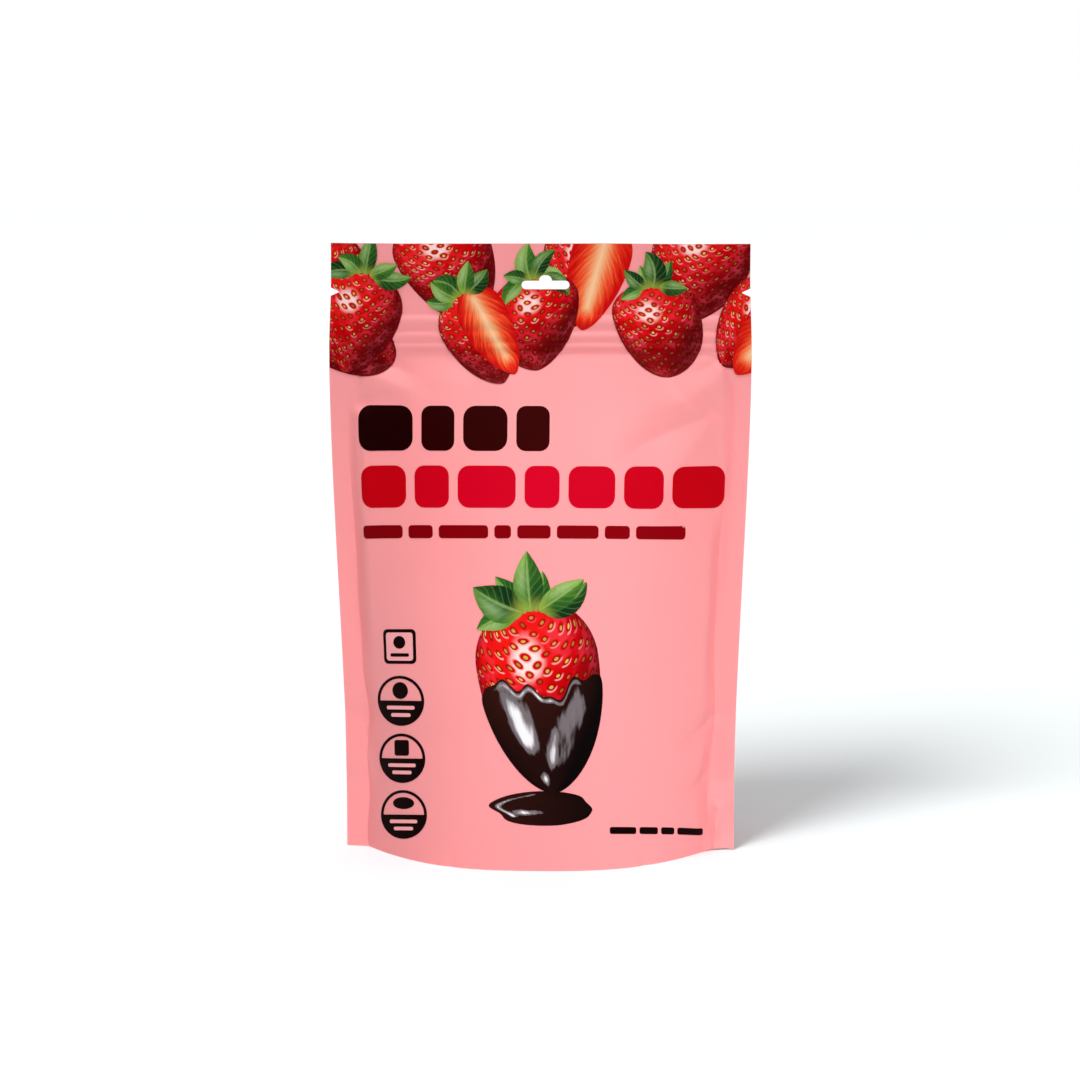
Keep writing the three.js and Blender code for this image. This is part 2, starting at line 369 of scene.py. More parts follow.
@dataclass(frozen=True)
class PouchForm:
    """The filled pouch's shape, as functions of the place on a panel, in millimetres."""

    height: float
    shoulder_half_width: float
    belly_half_depth: float
    flat_half_width: float = 80.0
    foot_half_width: float = 75.8
    ply_half: float = 0.17
    foot_share: float = 0.962
    fullest_level: float = 30.0
    shoulder_level: float = 195.5
    zip_top_level: float = 208.4
    shoulder_ease: float = 4.5
    ease_reach: float = 60.0
    foot_seal: float = 9.3
    top_seal: float = 7.5
    section_power: float = 2.75
    taper_power: float = 2.2
    shoulder_power: float = 0.98
    zip_relief: float = 0.5
    skirt: float = 0.55
    gusset_recess: float = 4.0
    gusset_end_rise: float = 9.0
    gusset_recess_insets: Point = (0.62, 0.93)
    gusset_end_reach: Point = (36.0, 60.0)
    pleats: Ripple = Ripple(0.5, 5.5)
    pleat_crowding: Ripple = Ripple(1.3, 9.0)
    pleat_insets: Point = (0.55, 0.85)
    gusset_corner: Point = (1.0, 12.0)
    foot_lift: float = 0.8
    foot_lift_place: float = 71.0
    foot_lift_half: float = 5.0
    foot_lift_level: float = 9.0
    # the outline and the side seals
    splay_levels: Point = (20.0, 200.0)
    draw_in_levels: Point = (192.0, 225.0)
    left_seal_levels: Point = (35.0, 135.0)
    right_seal_levels: Point = (110.0, 180.0)
    left_seal_gain: float = 0.4
    left_waver: Ripple = Ripple(0.35, 11.0)
    left_low_waver: Ripple = Ripple(0.55, 5.2, 0.6)
    right_waver: Ripple = Ripple(0.30, 13.0, 2.0)
    right_low_waver: Ripple = Ripple(1.10, 10.5, 2.8)
    low_waver_levels: Point = (50.0, 120.0)
    waver_end_levels: Point = (180.0, 200.0)
    # the zip, the header and the seals' swing out of their plane
    zip_ends: Point = (66.5, 73.5)
    zip_end_share: float = 0.92
    header_start: float = 186.0
    header_wave: Ripple = Ripple(1.5, 15.5, centre=-12.0)
    header_ripple: Ripple = Ripple(0.9, 8.6, 0.7, 20.0)
    header_wave_share: float = 0.75
    header_set: float = 0.5
    seal_swing: float = 0.10
    seal_waves: Ripple = Ripple(0.10, 31.0)
    seal_wave_starts: Point = (0.4, 2.6)
    seal_kink_reach: Point = (62.0, 70.0)
    # where the folds die out, and how deep they may go
    seal_slack: float = 0.05
    shoulder_slack: float = 5.0
    deepest_fold: float = 0.75

    @classmethod
    def from_solid(cls) -> PouchForm:
        """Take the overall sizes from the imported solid's box.

        Returns:
            The form that fills that box.
        """
        low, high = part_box(NODE)
        return cls(
            height=(high.z - low.z) / MM,
            shoulder_half_width=(high.x - low.x) / 2 / MM,
            belly_half_depth=(high.y - low.y) / 2 / MM - cls.ply_half,
        )

    def outer_half(self, z: Array) -> Array:
        """Give the half width out to the seals' edges at a level."""
        splay = self.shoulder_half_width - self.foot_half_width
        drawn_in = self.shoulder_half_width - self.flat_half_width
        splayed = splay * smoothstep(z, *self.splay_levels)
        return self.foot_half_width + splayed - drawn_in * smoothstep(z, *self.draw_in_levels)

    def inner_half(self, z: Array, side: Array) -> Array:
        """Give the half width between the seals at a level.

        Args:
            z: Levels.
            side: Below zero on the left and above zero on the right.

        Returns:
            The distance from the middle to the seal's inner edge, which wavers a little.
        """
        left_narrowed = smoothstep(z, *self.left_seal_levels)
        right_narrowed = smoothstep(z, *self.right_seal_levels)
        narrowed = np.where(side < 0, left_narrowed, right_narrowed)
        seal = self.foot_seal + (self.top_seal - self.foot_seal) * narrowed
        low_down = 1.0 - smoothstep(z, *self.low_waver_levels)
        waver = np.where(
            side < 0,
            self.left_seal_gain + self.left_waver.at(z) + low_down * self.left_low_waver.at(z),
            self.right_waver.at(z) + low_down * self.right_low_waver.at(z),
        )
        return self.outer_half(z) - seal + waver * (1.0 - smoothstep(z, *self.waver_end_levels))

    def belly(self, z: Array) -> Array:
        """Give the bulge's half depth at the middle of the panel at a level."""
        rise = smoothstep(z, 0.0, self.fullest_level)
        low = self.belly_half_depth * (self.foot_share + (1 - self.foot_share) * rise)
        below = np.clip(self.shoulder_level - z, 0.0, None)
        ease = self.shoulder_ease * (1.0 - np.exp(-below / self.shoulder_ease))
        below = below - ease * np.exp(-below / self.ease_reach)
        climb = 1.0 - below / (self.shoulder_level - self.fullest_level)
        climb = np.clip(climb, 0.0, 1.0)
        high = (1.0 - climb**self.taper_power) ** self.shoulder_power
        return np.where(z < self.fullest_level, low, self.belly_half_depth * high)

    def zip_bulk(self, x: Array, z: Array) -> Array:
        """Give how far the zip pushes one panel out."""
        band = smoothstep(z, self.shoulder_level - 1.2, self.shoulder_level + 0.6)
        band = band * (1.0 - smoothstep(z, self.zip_top_level - 0.8, self.zip_top_level + 0.8))
        bulk = self.zip_relief * band
        for ridge in ZIP_RIDGES:
            bulk = bulk + ridge.relief(z)
        return bulk * (1.0 - self.zip_end_share * smoothstep(np.abs(x), *self.zip_ends))

    def camber(self, x: Array, z: Array) -> Array:
        """Give how far both plies together stand behind the seal plane."""
        header = smoothstep(z, self.header_start, self.height)
        wave = self.header_wave.at(x) + self.header_ripple.at(x)
        bend = header * (wave * self.header_wave_share - self.header_set)
        beyond = np.clip(np.abs(x) - self.inner_half(z, x), 0.0, None)
        swing = self.seal_swing + self.seal_waves.at(z, np.where(x < 0, *self.seal_wave_starts))
        kinks = sum(kink.relief(x, z) for kink in SEAL_KINKS)
        at_seal = smoothstep(np.abs(x), *self.seal_kink_reach)
        return bend + beyond * swing + kinks * at_seal

    def swell(self, x: Array, z: Array) -> Array:
        """Give the smooth bulge of one panel, without its folds."""
        reach = np.clip(np.abs(x) / self.inner_half(z, x), 0.0, 1.0)
        return self.belly(z) * (1.0 - reach**self.section_power)

    def outward(self, x: Array, z: Array, panel: Panel) -> Array:
        """Give how far a panel stands out of the seal plane, away from the other panel.

        Args:
            x: Places across, as seen from the front.
            z: Levels.
            panel: Which of the two panels.

        Returns:
            The distance, with folds and zip, without the camber.
        """
        seen = x if panel is Panel.FRONT else -x
        reach = np.clip(np.abs(x) / self.inner_half(z, x), 0.0, 1.0)
        bulge = self.swell(x, z)
        folds = sum(fold.relief(seen, z) for fold in FRONT_FOLDS)
        folds = folds + sum(bump.relief(seen, z) for bump in FRONT_BUMPS)
        slack = smoothstep(1.0 - reach, 0.0, self.seal_slack)
        slack = slack * smoothstep(self.shoulder_level - z, 0.0, self.shoulder_slack)
        folds = np.maximum(folds * slack, -self.deepest_fold * bulge)
        return self.ply_half + bulge + folds + self.zip_bulk(x, z)

    def off_ground(self, x: Array, z: Array) -> Array:
        """Give how far the foot of the right seal is held off the ground."""
        near = np.exp(-(((x - self.foot_lift_place) / self.foot_lift_half) ** 4))
        return self.foot_lift * near * (1.0 - smoothstep(z, 0.0, self.foot_lift_level))

    def surface_y(self, x: Array, z: Array, panel: Panel) -> Array:
        """Give the Y of a panel's outside at places (x, z)."""
        return self.camber(x, z) + panel.value * self.outward(x, z, panel)


def object_from(mesh: Mesh, name: str) -> bpy.types.Object:
    """Turn a finished bmesh, drawn in millimetres, into an object in metres.

    Args:
        mesh: The mesh, which is freed.
        name: The piece's name.

    Returns:
        The linked object, at the origin.
    """
    bmesh.ops.scale(mesh, vec=(MM, MM, MM), verts=mesh.verts)
    data = bpy.data.meshes.new(name)
    mesh.to_mesh(data)
    mesh.free()
    made = bpy.data.objects.new(name, data)
    bpy.context.scene.collection.objects.link(made)
    return made


def place_vertices(mesh: Mesh, places: Array) -> None:
    """Move each vertex of a mesh to its row of places."""
    for vertex, place in zip(mesh.verts, places):
        vertex.co = place


def soften(mesh: Mesh, sharp_angle: float) -> None:
    """Shade a mesh smooth, but for the edges that turn more than an angle in degrees."""
    for face in mesh.faces:
        face.smooth = True
    limit = math.radians(sharp_angle)
    for edge in mesh.edges:
        edge.smooth = edge.calc_face_angle(0.0) < limit


def apply_modifiers(piece: bpy.types.Object) -> None:
    """Bake a piece's modifiers into its mesh."""
    graph = bpy.context.evaluated_depsgraph_get()
    baked = bpy.data.meshes.new_from_object(piece.evaluated_get(graph))
    baked.materials.clear()
    old = piece.data
    piece.modifiers.clear()
    piece.data = baked
    bpy.data.meshes.remove(old)


@dataclass
class CutOuts:
    """The hang slot and the two tear notches, which go through the film and its inks."""

    form: PouchForm
    slot_centre: float = 2.1
    slot_level: float = 220.25
    slot_length: float = 18.2
    slot_bar: float = 3.2
    hump_width: float = 4.8
    hump_rise: float = 2.1
    hump_round: float = 2.0
    notch_level: float = 217.4
    notch_depth: float = 3.2
    notch_half_mouth: float = 1.5
    notch_round: float = 0.3
    notch_overrun: float = 2.0
    points_in_end: int = 13
    points_in_corner: int = 9
    reach: float = 12.0
    ink_margin: float = 0.12
    cutters: list[bpy.types.Object] = field(default_factory=list)

    def bar_outline(self, margin: float = 0.0) -> list[Point]:
        """Give the outline of the slot's round-ended bar, grown by a margin."""
        end = self.slot_bar / 2 + margin
        half = (self.slot_length - self.slot_bar) / 2
        outline = []
        for middle, start in ((self.slot_centre + half, -90.0), (self.slot_centre - half, 90.0)):
            for angle in np.radians(start + np.linspace(0.0, 180.0, self.points_in_end)):
                place = (middle + end * math.cos(angle), self.slot_level + end * math.sin(angle))
                outline.append(place)
        return outline

    def hump_outline(self, margin: float = 0.0) -> list[Point]:
        """Give the outline of the hump over the slot's middle, grown by a margin."""
        half, corner = self.hump_width / 2, self.hump_round
        low = self.slot_level
        high = low + self.slot_bar / 2 + self.hump_rise
        outline = [(self.slot_centre - half - margin, low), (self.slot_centre + half + margin, low)]
        for side, start in ((1, 0.0), (-1, 90.0)):
            for angle in np.radians(start + np.linspace(0.0, 90.0, self.points_in_corner)):
                x = self.slot_centre + side * (half - corner) + (corner + margin) * math.cos(angle)
                outline.append((x, high - corner + (corner + margin) * math.sin(angle)))
        return outline

    def notch_outline(self, side: int, edge: float, margin: float = 0.0) -> list[Point]:
        """Give the outline of one tear notch, grown by a margin.

        Args:
            side: Minus one for the left and one for the right.
            edge: Half width of the film at the notch.
            margin: How far the outline is grown.

        Returns:
            The outline's corners, with a blunt tip.
        """
        beyond = edge + self.notch_overrun
        tip = edge - self.notch_depth - margin
        mouth = (self.notch_half_mouth + margin) * (beyond - tip) / self.notch_depth
        blunt = self.notch_round / 2
        corners = [(beyond, -mouth), (beyond, mouth), (tip, blunt), (tip, -blunt)]
        return [(side * x, self.notch_level + z) for x, z in corners]

    def ink_openings(self, flat_half_width: float) -> list[list[Point]]:
        """Give the convex outlines that are left out of the inks, on the flat panel."""
        found = [self.bar_outline(self.ink_margin), self.hump_outline(self.ink_margin)]
        for side in (-1, 1):
            found.append(self.notch_outline(side, flat_half_width, self.ink_margin))
        return found

    def prism(self, name: str, outline: list[Point]) -> None:
        """Make a cutter that runs through both panels.

        Args:
            name: The cutter's name.
            outline: Corners (x, z) of its outline.
        """
        mesh = bmesh.new()
        mesh.faces.new([mesh.verts.new((x, -self.reach, z)) for x, z in outline])
        swept = bmesh.ops.extrude_face_region(mesh, geom=list(mesh.faces), use_keep_orig=True)
        moved = [part for part in swept["geom"] if isinstance(part, bmesh.types.BMVert)]
        bmesh.ops.translate(mesh, verts=moved, vec=(0.0, 2 * self.reach, 0.0))
        bmesh.ops.recalc_face_normals(mesh, faces=mesh.faces)
        self.cutters.append(object_from(mesh, name))

    def build(self) -> None:
        """Make the cutters of the slot and both notches."""
        self.prism("slot_bar_cutter", self.bar_outline())
        self.prism("slot_hump_cutter", self.hump_outline())
        edge = float(self.form.outer_half(np.array(self.notch_level)))
        for side, word in ((-1, "left"), (1, "right")):
            self.prism(f"notch_cutter_{word}", self.notch_outline(side, edge))

    def cut(self, piece: bpy.types.Object) -> None:
        """Cut the slot and the notches out of a closed piece."""
        for cutter in self.cutters:
            modifier = piece.modifiers.new(cutter.name, "BOOLEAN")
            modifier.operation = "DIFFERENCE"
            modifier.object = cutter
            modifier.solver = "MANIFOLD"
        bpy.context.view_layer.update()
        apply_modifiers(piece)

    def discard(self) -> None:
        """Remove the cutters once the film is cut."""
        for cutter in self.cutters:
            bpy.data.objects.remove(cutter)
        self.cutters.clear()


@dataclass
class FilmBody:
    """The pouch's film: both panels, the gusset, the side seals, the zip and the header."""

    form: PouchForm
    cut_outs: CutOuts
    columns_inside: int = 128
    columns_in_seal: int = 8
    crowding: float = 0.34 * math.pi
    inset_bands: tuple = ((0.55, 5), (0.62, 1), (0.985, 8), (1.0, 1))
    merge_distance: float = 1e-4
    sharp_angle: float = 38.0

    def across_stations(self) -> Array:
        """Space the columns from -2 to 2, closer together towards the flanks."""
        even = np.linspace(-1.0, 1.0, self.columns_inside + 1)
        inside = np.sin(even * self.crowding) / math.sin(self.crowding)
        seal = np.linspace(1.0, 2.0, self.columns_in_seal + 1)[1:]
        return np.concatenate([-seal[::-1], inside, seal])

    def level_stations(self) -> Array:
        """Space the rows up the panels, closest over the zip."""
        form = self.form
        bands = [(6.0, 6), (150.0, 118), (form.shoulder_level - 1.0, 48)]
        bands += [(form.zip_top_level + 1.5, 44), (form.height, 20)]
        return stations(bands)

    def panel_places(self, across: Array, z: Array, panel: Panel) -> Array:
        """Work out points of a panel's outside.

        Args:
            across: Columns, with -1 and 1 at the seals' inner edges and -2 and 2 outside.
            z: Their levels.
            panel: Which panel.

        Returns:
            The points, one a row.
        """
        outer = self.form.outer_half(z)
        inner = self.form.inner_half(z, across)
        reach = np.abs(across)
        half = np.where(reach <= 1, reach * inner, inner + (reach - 1) * (outer - inner))
        x = np.sign(across) * half
        y = self.form.surface_y(x, z, panel)
        return np.column_stack([x, y, z + self.form.off_ground(x, z)])

    def gusset_places(self, across: Array, inset: Array, panel: Panel) -> Array:
        """Work out points of one half of the underside.

        Args:
            across: Columns, as for the panels.
            inset: From 0 on the middle line to 1 at the skirt's inner edge.
            panel: The panel that this half joins.

        Returns:
            The points, one a row.
        """
        form, ground = self.form, np.zeros_like(across)
        foot = self.panel_places(across, ground, panel)
        x, middle = foot[:, 0], form.camber(foot[:, 0], ground)
        depth = np.abs(foot[:, 1] - middle)
        inside = depth - np.minimum(form.skirt, depth / 2)
        raised = form.gusset_recess * smoothstep(inset, *form.gusset_recess_insets)
        raised = raised + form.gusset_end_rise * smoothstep(np.abs(x), *form.gusset_end_reach)
        pleats = form.pleats.at(x, form.pleat_crowding.at(x))
        raised = raised + pleats * smoothstep(inset, *form.pleat_insets)
        raised = np.clip(raised, 0.0, None) * smoothstep(inside, *form.gusset_corner)
        raised = np.where(inset >= 1.0, 0.0, raised) + foot[:, 2]
        return np.column_stack([x, middle + panel.value * inside * inset, raised])

    def build(self) -> bpy.types.Object:
        """Model the film as one closed skin and cut its openings.

        Returns:
            The film's object.
        """
        across = self.across_stations()
        levels = self.level_stations()
        insets = stations(self.inset_bands)
        columns = 2 * len(across)
        rows = len(insets) + len(levels)
        mesh = bmesh.new()
        bmesh.ops.create_grid(mesh, x_segments=columns, y_segments=rows, size=0.5)
        grid = np.array([vertex.co for vertex in mesh.verts])
        column = np.rint((grid[:, 0] + 0.5) * columns).astype(int) % columns
        row = np.rint((grid[:, 1] + 0.5) * rows).astype(int)
        on_front = column < len(across)
        lane = np.where(on_front, column, columns - 1 - column)
        u = across[lane]
        places = np.zeros((len(grid), 3))
        for panel, chosen in ((Panel.FRONT, on_front), (Panel.BACK, ~on_front)):
            below = chosen & (row < len(insets))
            places[below] = self.gusset_places(u[below], insets[row[below]], panel)
            above = chosen & (row >= len(insets))
            step = np.minimum(row[above] - len(insets), len(levels) - 1)
            places[above] = self.panel_places(u[above], levels[step], panel)
        closing = row == rows
        level = np.full(closing.sum(), self.form.height)
        places[closing, 1] = self.form.camber(places[closing, 0], level)
        place_vertices(mesh, places)
        bmesh.ops.remove_doubles(mesh, verts=mesh.verts, dist=self.merge_distance)
        bmesh.ops.recalc_face_normals(mesh, faces=mesh.faces)
        film = object_from(mesh, "film")
        self.cut_outs.cut(film)
        cut = bmesh.new()
        cut.from_mesh(film.data)
        soften(cut, self.sharp_angle)
        cut.to_mesh(film.data)
        cut.free()
        return film


@dataclass(frozen=True)
class Spot:
    """Where a printed motif lies on a flat panel, as seen from that panel's own side.

    Attributes:
        x: Place across, in millimetres to the right of the middle.
        z: Level.
        turn: Angle that the motif is turned by, in degrees anticlockwise.
        layer: Number of ink layers under it.
    """

    x: float
    z: float
    turn: float = 0.0
    layer: int = 0

    def to_panel(self, a: Array, b: Array) -> ArrayPair:
        """Turn and move places from the motif's own axes to the panel."""
        cosine, sine = math.cos(math.radians(self.turn)), math.sin(math.radians(self.turn))
        return self.x + a * cosine - b * sine, self.z + a * sine + b * cosine

    def beside(self, a: float, b: float, turn: float = 0.0, layers: int = 0) -> Spot:
        """Give a spot that is set off from this one along the motif's own axes.

        Args:
            a: Offset across.
            b: Offset upwards.
            turn: Further turn, in degrees.
            layers: Layers above this spot.

        Returns:
            The new spot.
        """
        x, z = self.to_panel(np.array(a), np.array(b))
        return Spot(float(x), float(z), self.turn + turn, self.layer + layers)


LIGHT = np.array((-0.36, 0.52, 0.78))
TOWARDS_EYE = np.array((0.0, 0.0, 1.0))
LEAST_FACING = 0.05
GLOSS_POWER = 14


def even_angle_rows(start: float, count: int) -> Array:
    """Space rows down a round shape by even angles, from a share of the half turn on."""
    return (1.0 - np.cos(np.linspace(start * math.pi, math.pi, count))) / 2.0


def round_outline(t: Array) -> Array:
    """Give the half width of a round shape, as a share of the largest, along its axis."""
    return np.sqrt(np.clip(4.0 * t * (1.0 - t), 0.0, 1.0))


def shade_rows(light: Array, gloss: Array, rim: Array) -> Array:
    """Put the printed light, gloss and rim together, one point a row."""
    return np.stack([light, gloss, rim, np.ones_like(rim)], -1)


def ball_light(turn: float, across: Array, along: Array) -> ArrayPair:
    """Shade a printed motif as a rounded body lit from the upper left.

    Args:
        turn: The motif's turn, in degrees.
        across: Place across the body, from -1 to 1.
        along: How far the body's surface leans towards its top, from 1 to -1.

    Returns:
        The light and the gloss at each place, from 0 to 1.
    """
    face = np.sqrt(np.clip(1.0 - across**2, 0.0, 1.0)) * (1.0 - LEAST_FACING) + LEAST_FACING
    cosine, sine = math.cos(math.radians(turn)), math.sin(math.radians(turn))
    lean = np.stack([across * cosine - along * sine, across * sine + along * cosine, face], -1)
    lean = lean / np.linalg.norm(lean, axis=-1, keepdims=True)
    towards_lamp = LIGHT / np.linalg.norm(LIGHT)
    halfway = towards_lamp + TOWARDS_EYE
    light = np.clip(lean @ towards_lamp, 0.0, 1.0)
    gloss = np.clip(lean @ (halfway / np.linalg.norm(halfway)), 0.0, 1.0) ** GLOSS_POWER
    return light, gloss


@dataclass(frozen=True)
class Motif:
    """A flat printed shape: rows across an axis, each as wide as the outline is there.

    Attributes:
        spot: Where the start of the axis lies.
        length: Length of the axis.
        half_width: The largest half width.
        seed: A number that makes the motif's pattern its own.
        cell: Size of the mesh's cells.
    """

    spot: Spot
    length: float
    half_width: float
    seed: float = 0.0
    cell: float = 0.9

    def outline(self, t: Array) -> Array:
        """Give the half width, as a share of the largest, along the axis."""
        return np.ones_like(t)

    def rows(self) -> Array:
        """Space the rows along the axis, closer together at both ends."""
        count = max(4, math.ceil(1.25 * self.length / self.cell))
        even = np.linspace(0.0, 1.0, count + 1)
        return 0.45 * even + 0.55 * (1.0 - np.cos(math.pi * even)) / 2.0

    def columns(self) -> int:
        """Give the number of cells across."""
        return max(2, math.ceil(2.0 * self.half_width / self.cell))

    def flat(self, p: Array, t: Array) -> ArrayPair:
        """Place points of the motif on the panel.

        Args:
            p: Places across, from -1 to 1.
            t: Places along the axis, from 0 to 1.

        Returns:
            Their x and z.
        """
        return self.spot.to_panel(p * self.half_width * self.outline(t), -t * self.length)

    def pattern(self, p: Array, t: Array) -> Array:
        """Give the pattern's own coordinates, which the ink's finish reads."""
        return np.stack([p, t, np.full_like(p, self.seed)], -1)

    def shade(self, p: Array, t: Array) -> Array:
        """Give the printed light, gloss and rim, which the ink's finish reads."""
        return shade_rows(np.full_like(p, 0.5), np.zeros_like(p), np.abs(p))


@dataclass(frozen=True)
class BerryBody(Motif):
    """A whole strawberry, seen from the side, with seeds in crossing spirals.

    Attributes:
        seed_across: Space between seeds across the berry.
        seed_along: Space between seeds along it.
        shoulder: Share of the length over which the berry widens.
        taper: Power by which it narrows; a high one keeps it full for longer.
        blunt: Power of its tip; a low one makes it blunter.
        lean: How far its tip bows to one side, as a share of half its width.
        crown: Power of its shoulders; a low one makes them squarer.
    """

    seed_across: float = 4.8
    seed_along: float = 4.2
    shoulder: float = 0.31
    taper: float = 1.9
    blunt: float = 0.66
    lean: float = 0.0
    crown: float = 0.86

    def outline(self, t: Array) -> Array:
        """Give the berry's outline: round shoulders and a blunt tip."""
        top = np.sqrt(np.clip(1.0 - ((self.shoulder - t) / self.shoulder) ** 2, 0.0, 1.0))
        run = np.clip((t - self.shoulder) / (1.0 - self.shoulder), 0.0, 1.0)
        cone = np.clip(1.0 - run**self.taper, 0.0, 1.0) ** self.blunt
        return np.where(t < self.shoulder, top**self.crown, cone)

    def bow(self, t: Array) -> Array:
        """Give how far the axis is bowed to one side along the berry."""
        return self.lean * self.half_width * np.sin(0.5 * math.pi * t) ** 2

    def flat(self, p: Array, t: Array) -> ArrayPair:
        """Place points on the panel, with the berry's axis bowed to one side."""
        across = self.bow(t) + p * self.half_width * self.outline(t)
        return self.spot.to_panel(across, -t * self.length)

    def pattern(self, p: Array, t: Array) -> Array:
        """Give the lattice coordinates of the seeds, drawn together at the rim."""
        turned = np.arcsin(np.clip(p, -1.0, 1.0) * 0.96) * self.half_width * 0.9
        narrow = 0.55 + 0.45 * self.outline(t)
        u = turned * narrow / self.seed_across
        v = t * self.length / self.seed_along + 0.12 * p * p * self.half_width
        return np.stack([u + v, u - v, np.full_like(p, self.seed)], -1)

    def shade(self, p: Array, t: Array) -> Array:
        """Light the berry as a round body."""
        lean = 0.9 * np.cos(math.pi * np.clip(t, 0.0, 1.0) ** 0.8)
        light, gloss = ball_light(self.spot.turn, p, lean)
        rim = np.maximum(np.abs(p), np.abs(2.0 * t - 1.0) ** 3)
        return shade_rows(light, gloss, rim)


@dataclass(frozen=True)
class CutFace(BerryBody):
    """The pale inside of a halved strawberry."""

    def pattern(self, p: Array, t: Array) -> Array:
        """Give the place across and along, for the streaks."""
        return Motif.pattern(self, p, t)


@dataclass(frozen=True)
class Leaf(Motif):
    """A pointed leaf that bends to one side.

    Attributes:
        bend: Angle that the leaf turns through from its foot to its tip, in degrees.
    """

    bend: float = 0.0

    def outline(self, t: Array) -> Array:
        """Give the leaf's outline, widest below its middle."""
        body = np.sin(math.pi * np.clip(t, 0.0, 1.0) ** 0.85) ** 0.85
        teeth = 1.0 + 0.05 * np.abs(np.sin(9.0 * math.pi * t)) * np.sin(math.pi * t)
        return body * teeth + 0.16 * (1.0 - t)

    def flat(self, p: Array, t: Array) -> ArrayPair:
        """Place points on the panel, along the bent midrib."""
        whole = math.radians(self.bend) or LEAST_BEND
        turned = whole * t
        across = p * self.half_width * self.outline(t)
        a = self.length * (1.0 - np.cos(turned)) / whole + across * np.cos(turned)
        b = self.length * np.sin(turned) / whole - across * np.sin(turned)
        return self.spot.to_panel(a, b)

    def shade(self, p: Array, t: Array) -> Array:
        """Light one half of the leaf more than the other."""
        light = 0.48 + 0.24 * np.tanh(-2.5 * p) + 0.34 * (t - 0.45)
        gloss = np.exp(-(((p + 0.45) / 0.3) ** 2) - ((t - 0.55) / 0.25) ** 2)
        return shade_rows(light, gloss, np.abs(p))


@dataclass(frozen=True)
class Dip(BerryBody):
    """The coat of dark chocolate over the lower part of a berry.

    Attributes:
        start: Where the coat's upper edge lies along the berry.
        wave: Height of the waves of that edge, as a share of the length.
        thick: How far the coat stands out all round, in millimetres.
    """

    start: float = 0.45
    wave: float = 0.05
    thick: float = 0.9

    def flat(self, p: Array, t: Array) -> ArrayPair:
        """Place points between the wavy upper edge and the tip."""
        reach = self.reach(p, t)
        half = self.half_width * self.outline(reach)
        half = half + self.thick * (1.0 - t) ** 0.3 * (1.0 - np.exp(-t / 0.05))
        across = self.bow(reach) + p * half
        return self.spot.to_panel(across, -reach * self.length - self.thick * t)

    def reach(self, p: Array, t: Array) -> Array:
        """Give the place along the berry for a place along the coat."""
        edge = self.start + self.wave * (np.sin(4.2 * p + 0.9) + 0.45 * np.sin(9.5 * p - 0.6))
        edge = edge + 0.35 * self.wave * np.sin(17.0 * p + 2.0)
        return edge + (1.0 - edge) * t

    def pattern(self, p: Array, t: Array) -> Array:
        """Give the place across and along, for the lights in the gloss."""
        return Motif.pattern(self, p, t)

    def shade(self, p: Array, t: Array) -> Array:
        """Light the coat, with long reflections of a window and a lamp."""
        light, _ = ball_light(self.spot.turn, p, 0.8 * np.cos(math.pi * self.reach(p, t)))
        window = np.exp(-(((p + 0.50 - 0.20 * t) / 0.23) ** 2) - ((t - 0.34) / 0.29) ** 4)
        lamp = 0.9 * np.exp(-(((p - 0.26 + 0.30 * t) / 0.13) ** 2) - ((t - 0.52) / 0.24) ** 4)
        sheet = 0.60 * np.exp(-(((p - 0.50 + 0.30 * t) / 0.30) ** 4) - ((t - 0.42) / 0.34) ** 4)
        low = 0.85 * np.exp(-(((p + 0.30) / 0.16) ** 2) - ((t - 0.86) / 0.07) ** 2)
        edge = 0.75 * np.exp(-(((t - 0.045) / 0.03) ** 2)) * np.clip(1.0 - p * p, 0.0, 1.0)
        gloss = np.clip(np.maximum(window + lamp + low + edge, sheet), 0.0, 1.0)
        return shade_rows(light, gloss, np.abs(p))


@dataclass(frozen=True)
class Pool(Motif):
    """A flat pool of melted chocolate with a lazy outline."""

    row_count: int = 30

    def rows(self) -> Array:
        """Space the rows by even angles."""
        return even_angle_rows(0.0, self.row_count)

    def outline(self, t: Array) -> Array:
        """Give the pool's outline: a flat oval with two slack waves."""
        waves = 1.0 + 0.05 * np.sin(7.5 * t) + 0.02 * np.sin(17.0 * t)
        return round_outline(t) ** 0.9 * waves

    def flat(self, p: Array, t: Array) -> ArrayPair:
        """Place points on the panel, with the pool's two ends drawn out unevenly."""
        reach = np.where(p > 0, 0.90, 1.0) + 0.07 * np.sin(9.0 * t + 2.0 * np.sign(p))
        half = self.half_width * self.outline(t)
        return self.spot.to_panel(p * half * (1.0 + (reach - 1.0) * np.abs(p)), -t * self.length)

    def shade(self, p: Array, t: Array) -> Array:
        """Light the pool along its upper rim and in one long streak."""
        rim = np.exp(-(((np.hypot(p, 2.0 * t - 1.0) - 0.86) / 0.07) ** 2)) * (t < 0.75)
        streak = np.exp(-(((p + 0.35) / 0.34) ** 2) - ((t - 0.62) / 0.09) ** 2)
        gloss = np.clip(0.8 * rim * np.clip(0.4 - p, 0.0, 1.0) + streak, 0.0, 1.0)
        return shade_rows(0.4 - 0.3 * p, gloss, np.abs(p))


